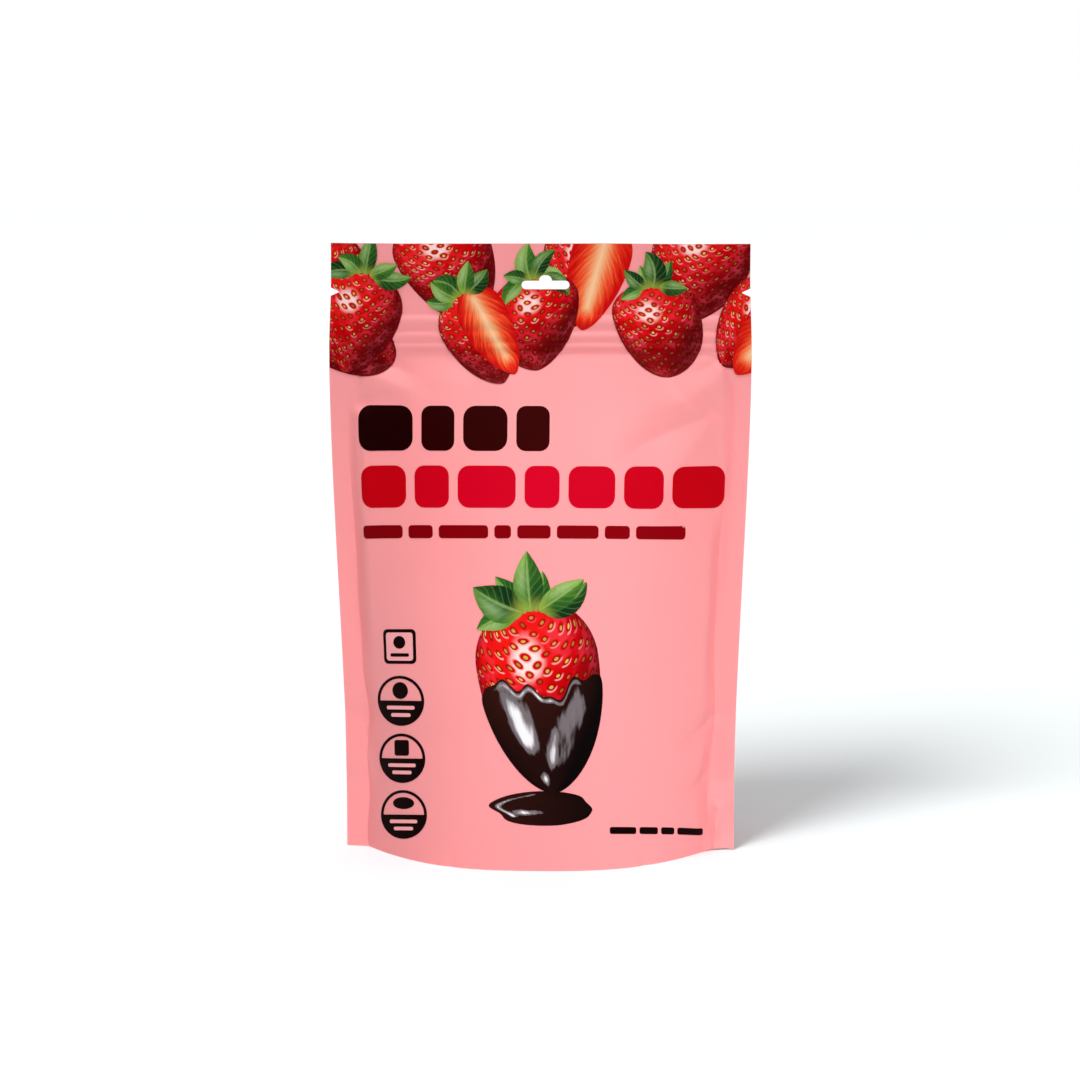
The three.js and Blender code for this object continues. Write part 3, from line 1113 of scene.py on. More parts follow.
@dataclass(frozen=True)
class Bar(Motif):
    """A plain bar with rounded corners, whose axis runs down from its top edge.

    Attributes:
        corner: Radius of the corners.
        tint: Place of the bar in the row's change of colour, from 0 to 1.
    """

    corner: float = 1.0
    tint: float = 0.5

    def fitted_corner(self) -> float:
        """Give the corners' radius, which stays just under half the bar's height."""
        return min(self.corner, 0.499 * self.length)

    def rows(self) -> Array:
        """Space the rows evenly between the rounded corners, and closely in them."""
        corner = self.fitted_corner() / self.length
        bow = corner * (1.0 - np.cos(np.linspace(0.0, math.pi / 2, 6)))
        middle = np.linspace(corner, 1.0 - corner, max(2, math.ceil(self.length / self.cell)))
        return np.unique(np.concatenate([bow, middle, 1.0 - bow]).round(9))

    def outline(self, t: Array) -> Array:
        """Give the outline, full but for the rounded corners."""
        corner = self.fitted_corner()
        near = np.minimum(t, 1.0 - t) * self.length
        inward = np.clip(corner - near, 0.0, corner)
        cut = corner - np.sqrt(np.clip(corner**2 - inward**2, 0.0, None))
        return 1.0 - cut / self.half_width

    def shade(self, p: Array, t: Array) -> Array:
        """Give the tint all over the bar."""
        return shade_rows(np.full_like(p, self.tint), np.zeros_like(p), np.abs(p))


@dataclass(frozen=True)
class Disc(Motif):
    """A round field, or the part of it below its middle.

    Attributes:
        low_half: Whether only the lower half is there.
    """

    low_half: bool = False

    def rows(self) -> Array:
        """Space the rows by even angles."""
        count = max(8, math.ceil(2 * self.length / self.cell))
        return even_angle_rows(0.5 if self.low_half else 0.0, count)

    def outline(self, t: Array) -> Array:
        """Give the round outline."""
        return round_outline(t)


@dataclass(frozen=True)
class Ring(Motif):
    """A thin ring, whose axis is its middle line.

    Attributes:
        height_share: Height of the ring as a share of its width.
        steps: Number of cells round the ring.
    """

    height_share: float = 1.0
    steps: int = 64

    def rows(self) -> Array:
        """Space the rows evenly round the ring."""
        return np.linspace(0.0, 1.0, self.steps + 1)

    def columns(self) -> int:
        """Keep two cells across the ring's thickness."""
        return 2

    def flat(self, p: Array, t: Array) -> ArrayPair:
        """Place points round the ring, whose length is its diameter."""
        angle = 2.0 * math.pi * t
        radius = self.length / 2.0 - p * self.half_width
        return self.spot.to_panel(
            radius * np.cos(angle), radius * self.height_share * np.sin(angle)
        )


@dataclass
class InkPress:
    """Lays motifs on the film as thin closed fields of ink that follow its folds."""

    form: PouchForm
    cut_outs: CutOuts
    first_lift: float = 0.14
    layer_lift: float = 0.045
    sink: float = 0.08
    bleed: float = 0.15
    draw_up: float = 0.26
    draw_up_fall: float = 0.00088
    header_level: float = 205.0
    header_ease: float = 15.0
    opening_margin: float = 1.5
    merge_distance: float = 1e-3
    cut_distance: float = 1e-4
    probe: float = 0.15
    sharp_angle: float = 45.0

    def lay(
        self, name: str, motifs: list[Motif], finish: Finish, panel: Panel = Panel.FRONT
    ) -> None:
        """Print motifs in one ink, as a piece that rides on the pouch.

        Args:
            name: The piece's name.
            motifs: The motifs.
            finish: The ink's finish.
            panel: The panel they are on.
        """
        mesh = bmesh.new()
        layers = mesh.verts.layers
        own = (layers.float_vector.new("motif"), layers.float_color.new("shade"))
        lift = layers.float.new("lift")
        for motif in motifs:
            faces = self.draw(mesh, motif, own)
            faces = self.trim(mesh, faces, panel)
            if not faces:
                continue
            for vertex in {corner for face in faces for corner in face.verts}:
                vertex[lift] = -self.sink
            swept = bmesh.ops.extrude_face_region(mesh, geom=faces, use_keep_orig=True)
            height = self.first_lift + motif.spot.layer * self.layer_lift
            for part in swept["geom"]:
                if isinstance(part, bmesh.types.BMVert):
                    part[lift] = height
        self.wrap(mesh, lift, panel)
        layers.float.remove(lift)
        bmesh.ops.recalc_face_normals(mesh, faces=mesh.faces)
        soften(mesh, self.sharp_angle)
        piece = object_from(mesh, name)
        piece.data.materials.append(finish.material())
        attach(piece, BODY)
        LOG.info("%s: %d faces", name, len(piece.data.polygons))

    def draw(self, mesh: Mesh, motif: Motif, own: tuple) -> list:
        """Draw one motif as a flat grid in the panel's plane.

        Args:
            mesh: The mesh to add to.
            motif: The motif.
            own: The layers for its pattern and its shade.

        Returns:
            The faces of the motif.
        """
        rows, columns = motif.rows(), motif.columns()
        made = bmesh.ops.create_grid(
            mesh, x_segments=columns, y_segments=len(rows) - 1, size=0.5
        )["verts"]
        grid = np.array([vertex.co for vertex in made])
        p = 2.0 * grid[:, 0]
        t = rows[np.rint((grid[:, 1] + 0.5) * (len(rows) - 1)).astype(int)]
        x, z = motif.flat(p, t)
        pattern, shade = motif.pattern(p, t), motif.shade(p, t)
        for index, vertex in enumerate(made):
            vertex.co = (x[index], 0.0, z[index])
            vertex[own[0]] = pattern[index]
            vertex[own[1]] = shade[index]
        faces = {face for vertex in made for face in vertex.link_faces}
        bmesh.ops.remove_doubles(mesh, verts=made, dist=self.merge_distance)
        return [face for face in faces if face.is_valid]

    def trim(self, mesh: Mesh, faces: list, panel: Panel) -> list:
        """Trim a flat motif at the panel's edges and at the film's openings.

        Args:
            mesh: The mesh.
            faces: The motif's faces.
            panel: The panel, which sets how its own side sees the openings.

        Returns:
            The faces that are left.
        """
        side = self.form.flat_half_width - self.bleed
        for edge, outward in (
            ((-side, 0, 0), (-1, 0, 0)),
            ((side, 0, 0), (1, 0, 0)),
            ((0, 0, self.form.height - self.bleed), (0, 0, 1)),
        ):
            faces = self.slice(mesh, faces, edge, outward, True)
        for opening in self.cut_outs.ink_openings(self.form.flat_half_width):
            faces = self.open_up(mesh, faces, np.array(opening) * (-panel.value, 1.0))
        return faces

    def open_up(self, mesh: Mesh, faces: list, corners: Array) -> list:
        """Leave a convex opening free of ink.

        Args:
            mesh: The mesh.
            faces: The motif's faces.
            corners: Corners (x, z) of the opening.

        Returns:
            The faces that are left.
        """
        low = corners.min(axis=0) - self.opening_margin
        high = corners.max(axis=0) + self.opening_margin
        near, far = [], []
        for face in faces:
            centre = face.calc_center_median()
            inside = low[0] < centre.x < high[0] and low[1] < centre.z < high[1]
            (near if inside else far).append(face)
        if not near:
            return faces
        middle = corners.mean(axis=0)
        planes = []
        for start, end in zip(corners, np.roll(corners, -1, axis=0)):
            along = end - start
            outward = np.array((along[1], -along[0]))
            if outward @ (start - middle) < 0:
                outward = -outward
            planes.append((Vector((start[0], 0, start[1])), Vector((outward[0], 0, outward[1]))))
            near = self.slice(mesh, near, *planes[-1], False)
        kept, dropped = [], []
        for face in near:
            centre = face.calc_center_median()
            hit = all((centre - point).dot(away) < 0 for point, away in planes)
            (dropped if hit else kept).append(face)
        bmesh.ops.delete(mesh, geom=dropped, context="FACES")
        return far + kept

    def slice(
        self, mesh: Mesh, faces: list, point: tuple, outward: tuple, clear: bool
    ) -> list:
        """Split faces by a plane, and clear what lies outside it if asked to.

        Args:
            mesh: The mesh.
            faces: The faces to split.
            point: A point of the plane.
            outward: The plane's normal.
            clear: Whether the outer part goes.

        Returns:
            The faces that are left.
        """
        parts = set(faces)
        for face in faces:
            parts.update(face.verts)
            parts.update(face.edges)
        cut = bmesh.ops.bisect_plane(
            mesh, geom=list(parts), dist=self.cut_distance, plane_co=point, plane_no=outward,
            clear_outer=clear,
        )
        return [part for part in cut["geom"] if isinstance(part, bmesh.types.BMFace)]

    def wrap(self, mesh: Mesh, lift: bmesh.types.BMLayerItem, panel: Panel) -> None:
        """Move flat ink on to the film's outside.

        A row of print rises where the panel bulges, as the film has the longer way to go there.

        Args:
            mesh: The ink's mesh.
            lift: The layer that holds each point's height over the film.
            panel: The panel that it is on.
        """
        flat = np.array([vertex.co for vertex in mesh.verts])
        height = np.array([vertex[lift] for vertex in mesh.verts])
        seen, z = flat[:, 0], flat[:, 2]
        mirror = -panel.value
        x = mirror * seen * self.form.outer_half(z) / self.form.flat_half_width
        back = self.form.swell(np.zeros_like(x), z) - self.form.swell(x, z)
        rise = (self.draw_up - self.draw_up_fall * z) * back
        z = z - rise * smoothstep(self.header_level - z, 0.0, self.header_ease)
        x = mirror * seen * self.form.outer_half(z) / self.form.flat_half_width
        y = self.form.surface_y(x, z, panel)
        lean_x = (self.form.surface_y(x + self.probe, z, panel) - y) / self.probe
        lean_z = (self.form.surface_y(x, z + self.probe, panel) - y) / self.probe
        normal = panel.value * np.stack([-lean_x, np.ones_like(x), -lean_z], -1)
        normal /= np.linalg.norm(normal, axis=1, keepdims=True)
        places = np.stack([x, y, z], -1) + height[:, None] * normal
        place_vertices(mesh, places)


class NodeWriter:
    """Writes a material's nodes."""

    CLOUD_SCALE = 55.0
    GRAIN_SCALE = 2600.0
    GRAIN_STRENGTH = 0.05
    GRAIN_HEIGHT = 0.0002
    UNEVENNESS = 0.02

    def __init__(self, name: str) -> None:
        """Start a material with a principled shader.

        Args:
            name: The material's name.
        """
        self.material = bpy.data.materials.new(name)
        self.material.use_nodes = True
        self.tree = self.material.node_tree
        self.shader = self.tree.nodes["Principled BSDF"]

    def add(self, kind: str, **settings: object) -> bpy.types.Node:
        """Add a node and set its properties."""
        node = self.tree.nodes.new(kind)
        for name, value in settings.items():
            setattr(node, name, value)
        return node

    def feed(self, socket: Socket, value: object) -> None:
        """Link a value to a socket, or set it where it is a plain number or colour."""
        if isinstance(value, Socket):
            self.tree.links.new(value, socket)
        elif isinstance(value, tuple) and len(value) == 3 and socket.type == "RGBA":
            socket.default_value = (*value, 1.0)
        else:
            socket.default_value = value

    def math(self, operation: str, first: object, second: object = 0.0) -> Socket:
        """Combine two numbers."""
        node = self.add("ShaderNodeMath", operation=operation)
        self.feed(node.inputs[0], first)
        self.feed(node.inputs[1], second)
        return node.outputs[0]

    def times(self, first: object, second: object) -> Socket:
        """Multiply two numbers."""
        return self.math("MULTIPLY", first, second)

    def plus(self, first: object, second: object) -> Socket:
        """Add two numbers."""
        return self.math("ADD", first, second)

    def minus(self, first: object, second: object) -> Socket:
        """Take the second number from the first."""
        return self.math("SUBTRACT", first, second)

    def rise(self, value: object, low: float, high: float) -> Socket:
        """Rise smoothly from 0 at low to 1 at high, or fall where low is above high."""
        node = self.add("ShaderNodeMapRange", interpolation_type="SMOOTHSTEP")
        self.feed(node.inputs["Value"], value)
        falls = low > high
        node.inputs["From Min"].default_value = min(low, high)
        node.inputs["From Max"].default_value = max(low, high)
        node.inputs["To Min"].default_value = 1.0 if falls else 0.0
        node.inputs["To Max"].default_value = 0.0 if falls else 1.0
        return node.outputs[0]

    def mix(self, share: object, first: object, second: object) -> Socket:
        """Mix two colours."""
        node = self.add("ShaderNodeMix", data_type="RGBA")
        self.feed(node.inputs["Factor"], share)
        self.feed(node.inputs[6], first)
        self.feed(node.inputs[7], second)
        return node.outputs[2]

    def ramp(self, value: object, stops: Stops) -> Socket:
        """Turn a number into a colour by a row of stops."""
        node = self.add("ShaderNodeValToRGB")
        elements = node.color_ramp.elements
        while len(elements) < len(stops):
            elements.new(1.0)
        for element, (place, colour) in zip(elements, stops):
            element.position = place
            element.color = (*colour, 1.0)
        self.feed(node.inputs["Fac"], value)
        return node.outputs["Color"]

    def split(self, vector: object) -> list[Socket]:
        """Split a vector into its three numbers."""
        node = self.add("ShaderNodeSeparateXYZ")
        self.feed(node.inputs[0], vector)
        return list(node.outputs)

    def join(self, x: object, y: object, z: object = 0.0) -> Socket:
        """Make a vector of three numbers."""
        node = self.add("ShaderNodeCombineXYZ")
        for socket, value in zip(node.inputs, (x, y, z)):
            self.feed(socket, value)
        return node.outputs[0]

    def vector(self, operation: str, first: object, second: object) -> Socket:
        """Combine two vectors."""
        node = self.add("ShaderNodeVectorMath", operation=operation)
        self.feed(node.inputs[0], first)
        self.feed(node.inputs[1], second)
        return node.outputs[0]

    def wander(self, place: object, scale: float) -> Socket:
        """Read a noise pattern's colour, centred on nought, to move a pattern by."""
        node = self.noise_node(place, scale, 1.0)
        return self.vector("SUBTRACT", node.outputs["Color"], (0.5, 0.5, 0.5))

    def attribute(self, name: str) -> Socket:
        """Read a named attribute of the piece as a vector."""
        return self.add("ShaderNodeAttribute", attribute_name=name).outputs["Vector"]

    def place(self) -> Socket:
        """Read the place on the piece, in metres."""
        return self.add("ShaderNodeTexCoord").outputs["Object"]

    def noise_node(
        self, vector: object, scale: float, detail: float, roughness: float = 0.5
    ) -> bpy.types.Node:
        """Add a noise pattern.

        Args:
            vector: Where the pattern is read.
            scale: Its scale.
            detail: Number of finer octaves.
            roughness: Strength of the finer octaves.

        Returns:
            The pattern's node.
        """
        node = self.add("ShaderNodeTexNoise")
        self.feed(node.inputs["Vector"], vector)
        node.inputs["Scale"].default_value = scale
        node.inputs["Detail"].default_value = detail
        node.inputs["Roughness"].default_value = roughness
        return node

    def noise(
        self, vector: object, scale: float, detail: float, roughness: float = 0.5
    ) -> Socket:
        """Read a noise pattern as one number, from 0 to 1."""
        return self.noise_node(vector, scale, detail, roughness).outputs[0]

    def film_touch(self, roughness: float, sheen: float) -> None:
        """Give the surface the film's matt touch: a fine grain and a slight unevenness.

        Args:
            roughness: The mean roughness.
            sheen: Strength of the surface's reflection.
        """
        place = self.place()
        cloudy = self.noise(place, self.CLOUD_SCALE, 3.0)
        fine = self.noise(place, self.GRAIN_SCALE, 2.0, 0.6)
        self.shader.inputs["Specular IOR Level"].default_value = sheen
        rough = self.add("ShaderNodeMapRange")
        self.feed(rough.inputs["Value"], cloudy)
        rough.inputs["From Min"].default_value = 0.3
        rough.inputs["From Max"].default_value = 0.7
        rough.inputs["To Min"].default_value = roughness - self.UNEVENNESS
        rough.inputs["To Max"].default_value = roughness + self.UNEVENNESS
        self.feed(self.shader.inputs["Roughness"], rough.outputs[0])
        bump = self.add("ShaderNodeBump")
        bump.inputs["Strength"].default_value = self.GRAIN_STRENGTH
        bump.inputs["Distance"].default_value = self.GRAIN_HEIGHT
        self.feed(bump.inputs["Height"], fine)
        self.feed(self.shader.inputs["Normal"], bump.outputs[0])


@dataclass(frozen=True)
class Finish:
    """A finish that the film or an ink can have."""

    name: str
    roughness: float = 0.5
    sheen: float = 0.03

    def material(self) -> bpy.types.Material:
        """Return the finish's material, made on first use."""
        made = bpy.data.materials.get(self.name)
        if made is None:
            writer = NodeWriter(self.name)
            writer.feed(writer.shader.inputs["Base Color"], self.colour(writer))
            writer.film_touch(self.roughness, self.sheen)
            made = writer.material
        return made

    def colour(self, writer: NodeWriter) -> object:
        """Write the nodes of the base colour and return their socket."""
        raise NotImplementedError


@dataclass(frozen=True)
class PinkFilm(Finish):
    """Matt pink film, printed all over, a touch uneven as printed film is."""

    sheen: float = 0.5
    base: Colour = (0.978, 0.310, 0.320)
    light: Colour = (0.982, 0.315, 0.325)

    def colour(self, writer: NodeWriter) -> object:
        """Vary the pink a little in soft clouds."""
        cloud = writer.noise(writer.place(), 38.0, 3.0)
        return writer.mix(writer.rise(cloud, 0.3, 0.7), self.base, self.light)


@dataclass(frozen=True)
class BerrySkin(Finish):
    """Printed strawberry skin: red, with seeds in dimples and a wet gloss."""

    reds: Stops = (
        (0.06, (0.12, 0.0, 0.001)), (0.30, (0.30, 0.0, 0.002)),
        (0.60, (0.58, 0.0, 0.002)), (0.92, (0.84, 0.008, 0.006)),
    )
    haze_pink: Colour = (0.70, 0.07, 0.12)
    pit_red: Colour = (0.14, 0.0, 0.003)
    wet_light: Colour = (1.0, 0.70, 0.66)
    lip_light: Colour = (1.0, 0.50, 0.46)
    rim_red: Colour = (0.16, 0.0, 0.003)
    brown_seed: Colour = (0.30, 0.07, 0.006)
    gold_seed: Colour = (0.80, 0.50, 0.08)
    seed_in_shade: Colour = (0.16, 0.02, 0.004)

    def colour(self, writer: NodeWriter) -> object:
        """Draw the seeds on their lattice and light the skin."""
        light, gloss, rim = writer.split(writer.attribute("shade"))
        x, y, own = writer.split(writer.attribute("motif"))
        lattice = writer.join(x, y, writer.times(own, 3.0))
        drift = writer.vector("MULTIPLY", writer.wander(lattice, 0.42), (0.75, 0.75, 0.0))
        lattice = writer.vector("ADD", lattice, drift)
        cells = writer.add("ShaderNodeTexVoronoi", voronoi_dimensions="3D")
        writer.feed(cells.inputs["Vector"], lattice)
        cells.inputs["Scale"].default_value = 1.0
        cells.inputs["Randomness"].default_value = 0.0
        apart = cells.outputs["Distance"]
        chance = writer.split(cells.outputs["Color"])[0]
        offset = writer.split(writer.vector("SUBTRACT", lattice, cells.outputs["Position"]))
        downhill = writer.minus(writer.times(offset[0], 1.35), offset[1])
        blotch = writer.noise(lattice, 0.5, 3.0)
        shift = writer.times(writer.minus(blotch, 0.5), 0.6)
        lit = writer.plus(light, shift)
        skin = writer.ramp(lit, self.reds)
        net = writer.rise(apart, 0.30, 0.46)
        haze = writer.times(net, writer.rise(blotch, 0.42, 0.66))
        skin = writer.mix(writer.times(haze, 0.30), skin, self.haze_pink)
        pit = writer.times(writer.rise(apart, 0.36, 0.19), 0.66)
        skin = writer.mix(pit, skin, self.pit_red)
        wet = writer.times(writer.rise(gloss, 0.42, 0.88), net)
        skin = writer.mix(wet, skin, self.wet_light)
        lip = writer.times(writer.rise(apart, 0.24, 0.33), writer.rise(apart, 0.47, 0.38))
        lip = writer.times(lip, writer.rise(downhill, 0.10, 0.42))
        lip = writer.times(lip, writer.rise(chance, 0.35, 0.75))
        shine = writer.times(lip, writer.rise(light, 0.25, 0.75))
        skin = writer.mix(writer.times(shine, 0.70), skin, self.lip_light)
        deep = writer.times(writer.rise(rim, 0.84, 1.0), 0.55)
        skin = writer.mix(deep, skin, self.rim_red)
        ripe = writer.mix(chance, self.brown_seed, self.gold_seed)
        seed = writer.mix(writer.rise(light, 0.1, 0.7), self.seed_in_shade, ripe)
        return writer.mix(writer.rise(apart, 0.17, 0.11), skin, seed)


@dataclass(frozen=True)
class BerryFlesh(Finish):
    """Printed inside of a strawberry: a pale core and streaks that run to a red rim."""

    core_to_rim: Stops = (
        (0.0, (0.94, 0.56, 0.33)), (0.11, (0.92, 0.43, 0.20)), (0.30, (0.88, 0.17, 0.055)),
        (0.54, (0.80, 0.035, 0.010)), (0.86, (0.60, 0.003, 0.003)),
    )

    def colour(self, writer: NodeWriter) -> object:
        """Draw the streaks out from the core."""
        p, t, own = writer.split(writer.attribute("motif"))
        out = writer.math("ABSOLUTE", p)
        slant = writer.minus(writer.times(t, 15.0), writer.times(out, 6.0))
        streak = writer.noise(writer.join(slant, out, writer.times(own, 7.0)), 1.7, 4.0, 0.62)
        ends = writer.rise(writer.math("ABSOLUTE", writer.minus(t, 0.45)), 0.30, 0.56)
        depth = writer.math("MAXIMUM", out, writer.times(ends, 0.9))
        shift = writer.times(writer.minus(streak, 0.52), 2.0)
        return writer.ramp(writer.plus(depth, writer.times(shift, depth)), self.core_to_rim)


@dataclass(frozen=True)
class LeafGreen(Finish):
    """Printed green leaf with a pale midrib and faint veins."""

    greens: Stops = (
        (0.22, (0.004, 0.030, 0.007)), (0.55, (0.028, 0.125, 0.014)),
        (0.80, (0.095, 0.235, 0.024)), (1.0, (0.26, 0.42, 0.09)),
    )
    vein_green: Colour = (0.36, 0.52, 0.16)
    rib_green: Colour = (0.42, 0.58, 0.20)
    foot_green: Colour = (0.36, 0.44, 0.06)
    gloss_green: Colour = (0.52, 0.66, 0.36)

    def colour(self, writer: NodeWriter) -> object:
        """Draw the veins and light the leaf."""
        light, gloss, _ = writer.split(writer.attribute("shade"))
        p, t, own = writer.split(writer.attribute("motif"))
        out = writer.math("ABSOLUTE", p)
        mottled = writer.noise(writer.join(p, writer.times(t, 3.0), own), 2.5, 3.0)
        lit = writer.plus(light, writer.times(mottled, 0.3))
        tone = writer.add("ShaderNodeTexWhiteNoise", noise_dimensions="1D")
        writer.feed(tone.inputs["W"], own)
        tone = writer.times(writer.minus(tone.outputs["Value"], 0.62), 0.42)
        lit = writer.plus(lit, tone)
        green = writer.ramp(lit, self.greens)
        ripple = writer.minus(writer.times(t, 42.0), writer.times(out, 11.0))
        vein = writer.rise(writer.math("SINE", ripple), 0.55, 1.0)
        green = writer.mix(writer.times(vein, 0.12), green, self.vein_green)
        rib = writer.rise(out, 0.14, 0.03)
        green = writer.mix(writer.times(rib, 0.40), green, self.rib_green)
        foot = writer.times(writer.rise(t, 0.30, 0.0), 0.65)
        green = writer.mix(foot, green, self.foot_green)
        return writer.mix(writer.times(gloss, 0.35), green, self.gloss_green)


@dataclass(frozen=True)
class DarkChocolate(Finish):
    """Printed dark chocolate, nearly black, with crisp bright reflections."""

    shaded_brown: Colour = (0.002, 0.0005, 0.0005)
    lit_brown: Colour = (0.034, 0.006, 0.004)
    dim_light: Colour = (0.17, 0.14, 0.15)
    full_light: Colour = (0.86, 0.84, 0.86)

    def colour(self, writer: NodeWriter) -> object:
        """Lay the reflections over the dark coat."""
        light, gloss, _ = writer.split(writer.attribute("shade"))
        p, t, own = writer.split(writer.attribute("motif"))
        coat = writer.mix(light, self.shaded_brown, self.lit_brown)
        stretched = writer.join(writer.times(p, 5.0), writer.times(t, 2.2), own)
        flow = writer.noise(stretched, 1.2, 3.0, 0.55)
        shine = writer.plus(gloss, writer.times(writer.minus(flow, 0.5), 0.9))
        coat = writer.mix(writer.rise(shine, 0.36, 0.58), coat, self.dim_light)
        return writer.mix(writer.rise(shine, 0.66, 0.98), coat, self.full_light)


@dataclass(frozen=True)
class PlainInk(Finish):
    """One plain ink, which may change a little along a row."""

    start: Colour = (0.04, 0.0, 0.0)
    end: Colour = (0.04, 0.0, 0.0)
    patch_scale: float = 300.0
    patch_share: float = 0.12

    def colour(self, writer: NodeWriter) -> object:
        """Mix the two ends of the row, with the slight unevenness of ink."""
        tint, _, _ = writer.split(writer.attribute("shade"))
        patchy = writer.noise(writer.place(), self.patch_scale, 2.0)
        patchy = writer.times(patchy, self.patch_share)
        return writer.mix(writer.plus(tint, patchy), self.start, self.end)


FILM = PinkFilm("pink_film", 0.5)
SKIN = BerrySkin("berry_skin", 0.5)
FLESH = BerryFlesh("berry_flesh", 0.5)
LEAF = LeafGreen("leaf_green", 0.5)
CHOCOLATE = DarkChocolate("dark_chocolate", 0.45)
BROWN_INK = PlainInk("brown_ink", 0.5, 0.02, (0.004, 0.0, 0.0), (0.040, 0.0, 0.0))
RED_INK = PlainInk("red_ink", 0.5, 0.02, (0.50, 0.0, 0.002), (0.66, 0.0, 0.018))
DARK_RED_INK = PlainInk("dark_red_ink", 0.5, 0.02, (0.20, 0.0, 0.002), (0.25, 0.0, 0.003))
BLACK_INK = PlainInk("black_ink", 0.5, 0.02, (0.004, 0.0, 0.0), (0.008, 0.001, 0.001))
PALE_INK = PlainInk("pale_ink", 0.5, 0.5, (0.97, 0.36, 0.37), (0.97, 0.38, 0.39))


@dataclass
class Garden:
    """Collects the parts of the printed strawberries, ink by ink."""

    cell: float = 0.55
    leaf_turn: float = 10.0
    leaf_lengths: Point = (0.72, 1.15)
    leaf_half_widths: Point = (0.19, 0.29)
    leaf_bend: float = 70.0
    tapers: Point = (1.7, 2.4)
    blunt_tips: Point = (0.52, 0.72)
    skins: list[Motif] = field(default_factory=list)
    faces: list[Motif] = field(default_factory=list)
    leaves: list[Motif] = field(default_factory=list)

    def add_leaves(self, spot: Spot, count: int, size: float, spread: float, seed: int) -> None:
        """Add a fan of leaves.

        Args:
            spot: The foot of the fan, turned so that it opens upwards.
            count: Number of leaves.
            size: Length of a middling leaf.
            spread: Angle between the outer leaves, in degrees.
            seed: Number that sets their chance differences.
        """
        chance = np.random.default_rng(seed)
        for index in range(count):
            share = index / max(1, count - 1) - 0.5
            turn = -spread * share + chance.uniform(-self.leaf_turn, self.leaf_turn)
            length = size * chance.uniform(*self.leaf_lengths) * (1.0 - 0.2 * abs(share))
            foot = spot.beside(share * size * 0.5, 0.0, turn, 1 + (index % 2))
            half_width = length * chance.uniform(*self.leaf_half_widths)
            bend = float(chance.uniform(-self.leaf_bend, self.leaf_bend))
            self.leaves.append(
                Leaf(foot, length, half_width, float(seed + index), self.cell, bend=bend)
            )

    def whole(
        self, spot: Spot, length: float, width: float, leaves: int, seed: int, lean: float = 0.0
    ) -> None:
        """Add a whole berry.

        Args:
            spot: The middle of its top.
            length: Its length.
            width: Its largest width.
            leaves: Number of its leaves.
            seed: Number that makes it differ from the others.
            lean: How far its tip bows to one side, as a share of half its width.
        """
        chance = np.random.default_rng(100 + seed)
        taper = float(chance.uniform(*self.tapers))
        blunt = float(chance.uniform(*self.blunt_tips))
        self.skins.append(
            BerryBody(
                spot, length, width / 2, float(seed), self.cell,
                taper=taper, blunt=blunt, lean=lean,
            )
        )
        crown = spot.beside(0.0, -0.05 * length)
        self.add_leaves(crown, leaves, 0.36 * length, 190.0, seed)

    def halved(
        self, spot: Spot, length: float, width: float, leaves: int, seed: int, shows: int = 1
    ) -> None:
        """Add a halved berry that shows its inside, and some skin at one side.

        Args:
            spot: The middle of its top.
            length: Its length.
            width: Its largest width.
            leaves: Number of its leaves.
            seed: Number that makes it differ from the others.
            shows: Side on which the skin shows, 1 for the right and -1 for the left.
        """
        self.skins.append(
            BerryBody(spot, length, width / 2, float(seed), self.cell, lean=0.12 * shows)
        )
        inner = spot.beside(-shows * 0.14 * width, -0.015 * length, -shows * 3.0, 1)
        self.faces.append(
            CutFace(inner, 0.965 * length, 0.35 * width, float(seed), self.cell, lean=0.2 * shows)
        )
        crown = spot.beside(0.0, -0.03 * length, 0.0, 1)
        self.add_leaves(crown, leaves, 0.34 * length, 160.0, seed)

    def print_band(self, press: InkPress, name: str, panel: Panel) -> None:
        """Print the berries as a band, ink by ink.

        Args:
            press: The press.
            name: The band's name, with which its pieces' names start.
            panel: The panel that it is on.
        """
        press.lay(f"{name}_skins", self.skins, SKIN, panel)
        press.lay(f"{name}_cut_faces", self.faces, FLESH, panel)
        press.lay(f"{name}_leaves", self.leaves, LEAF, panel)


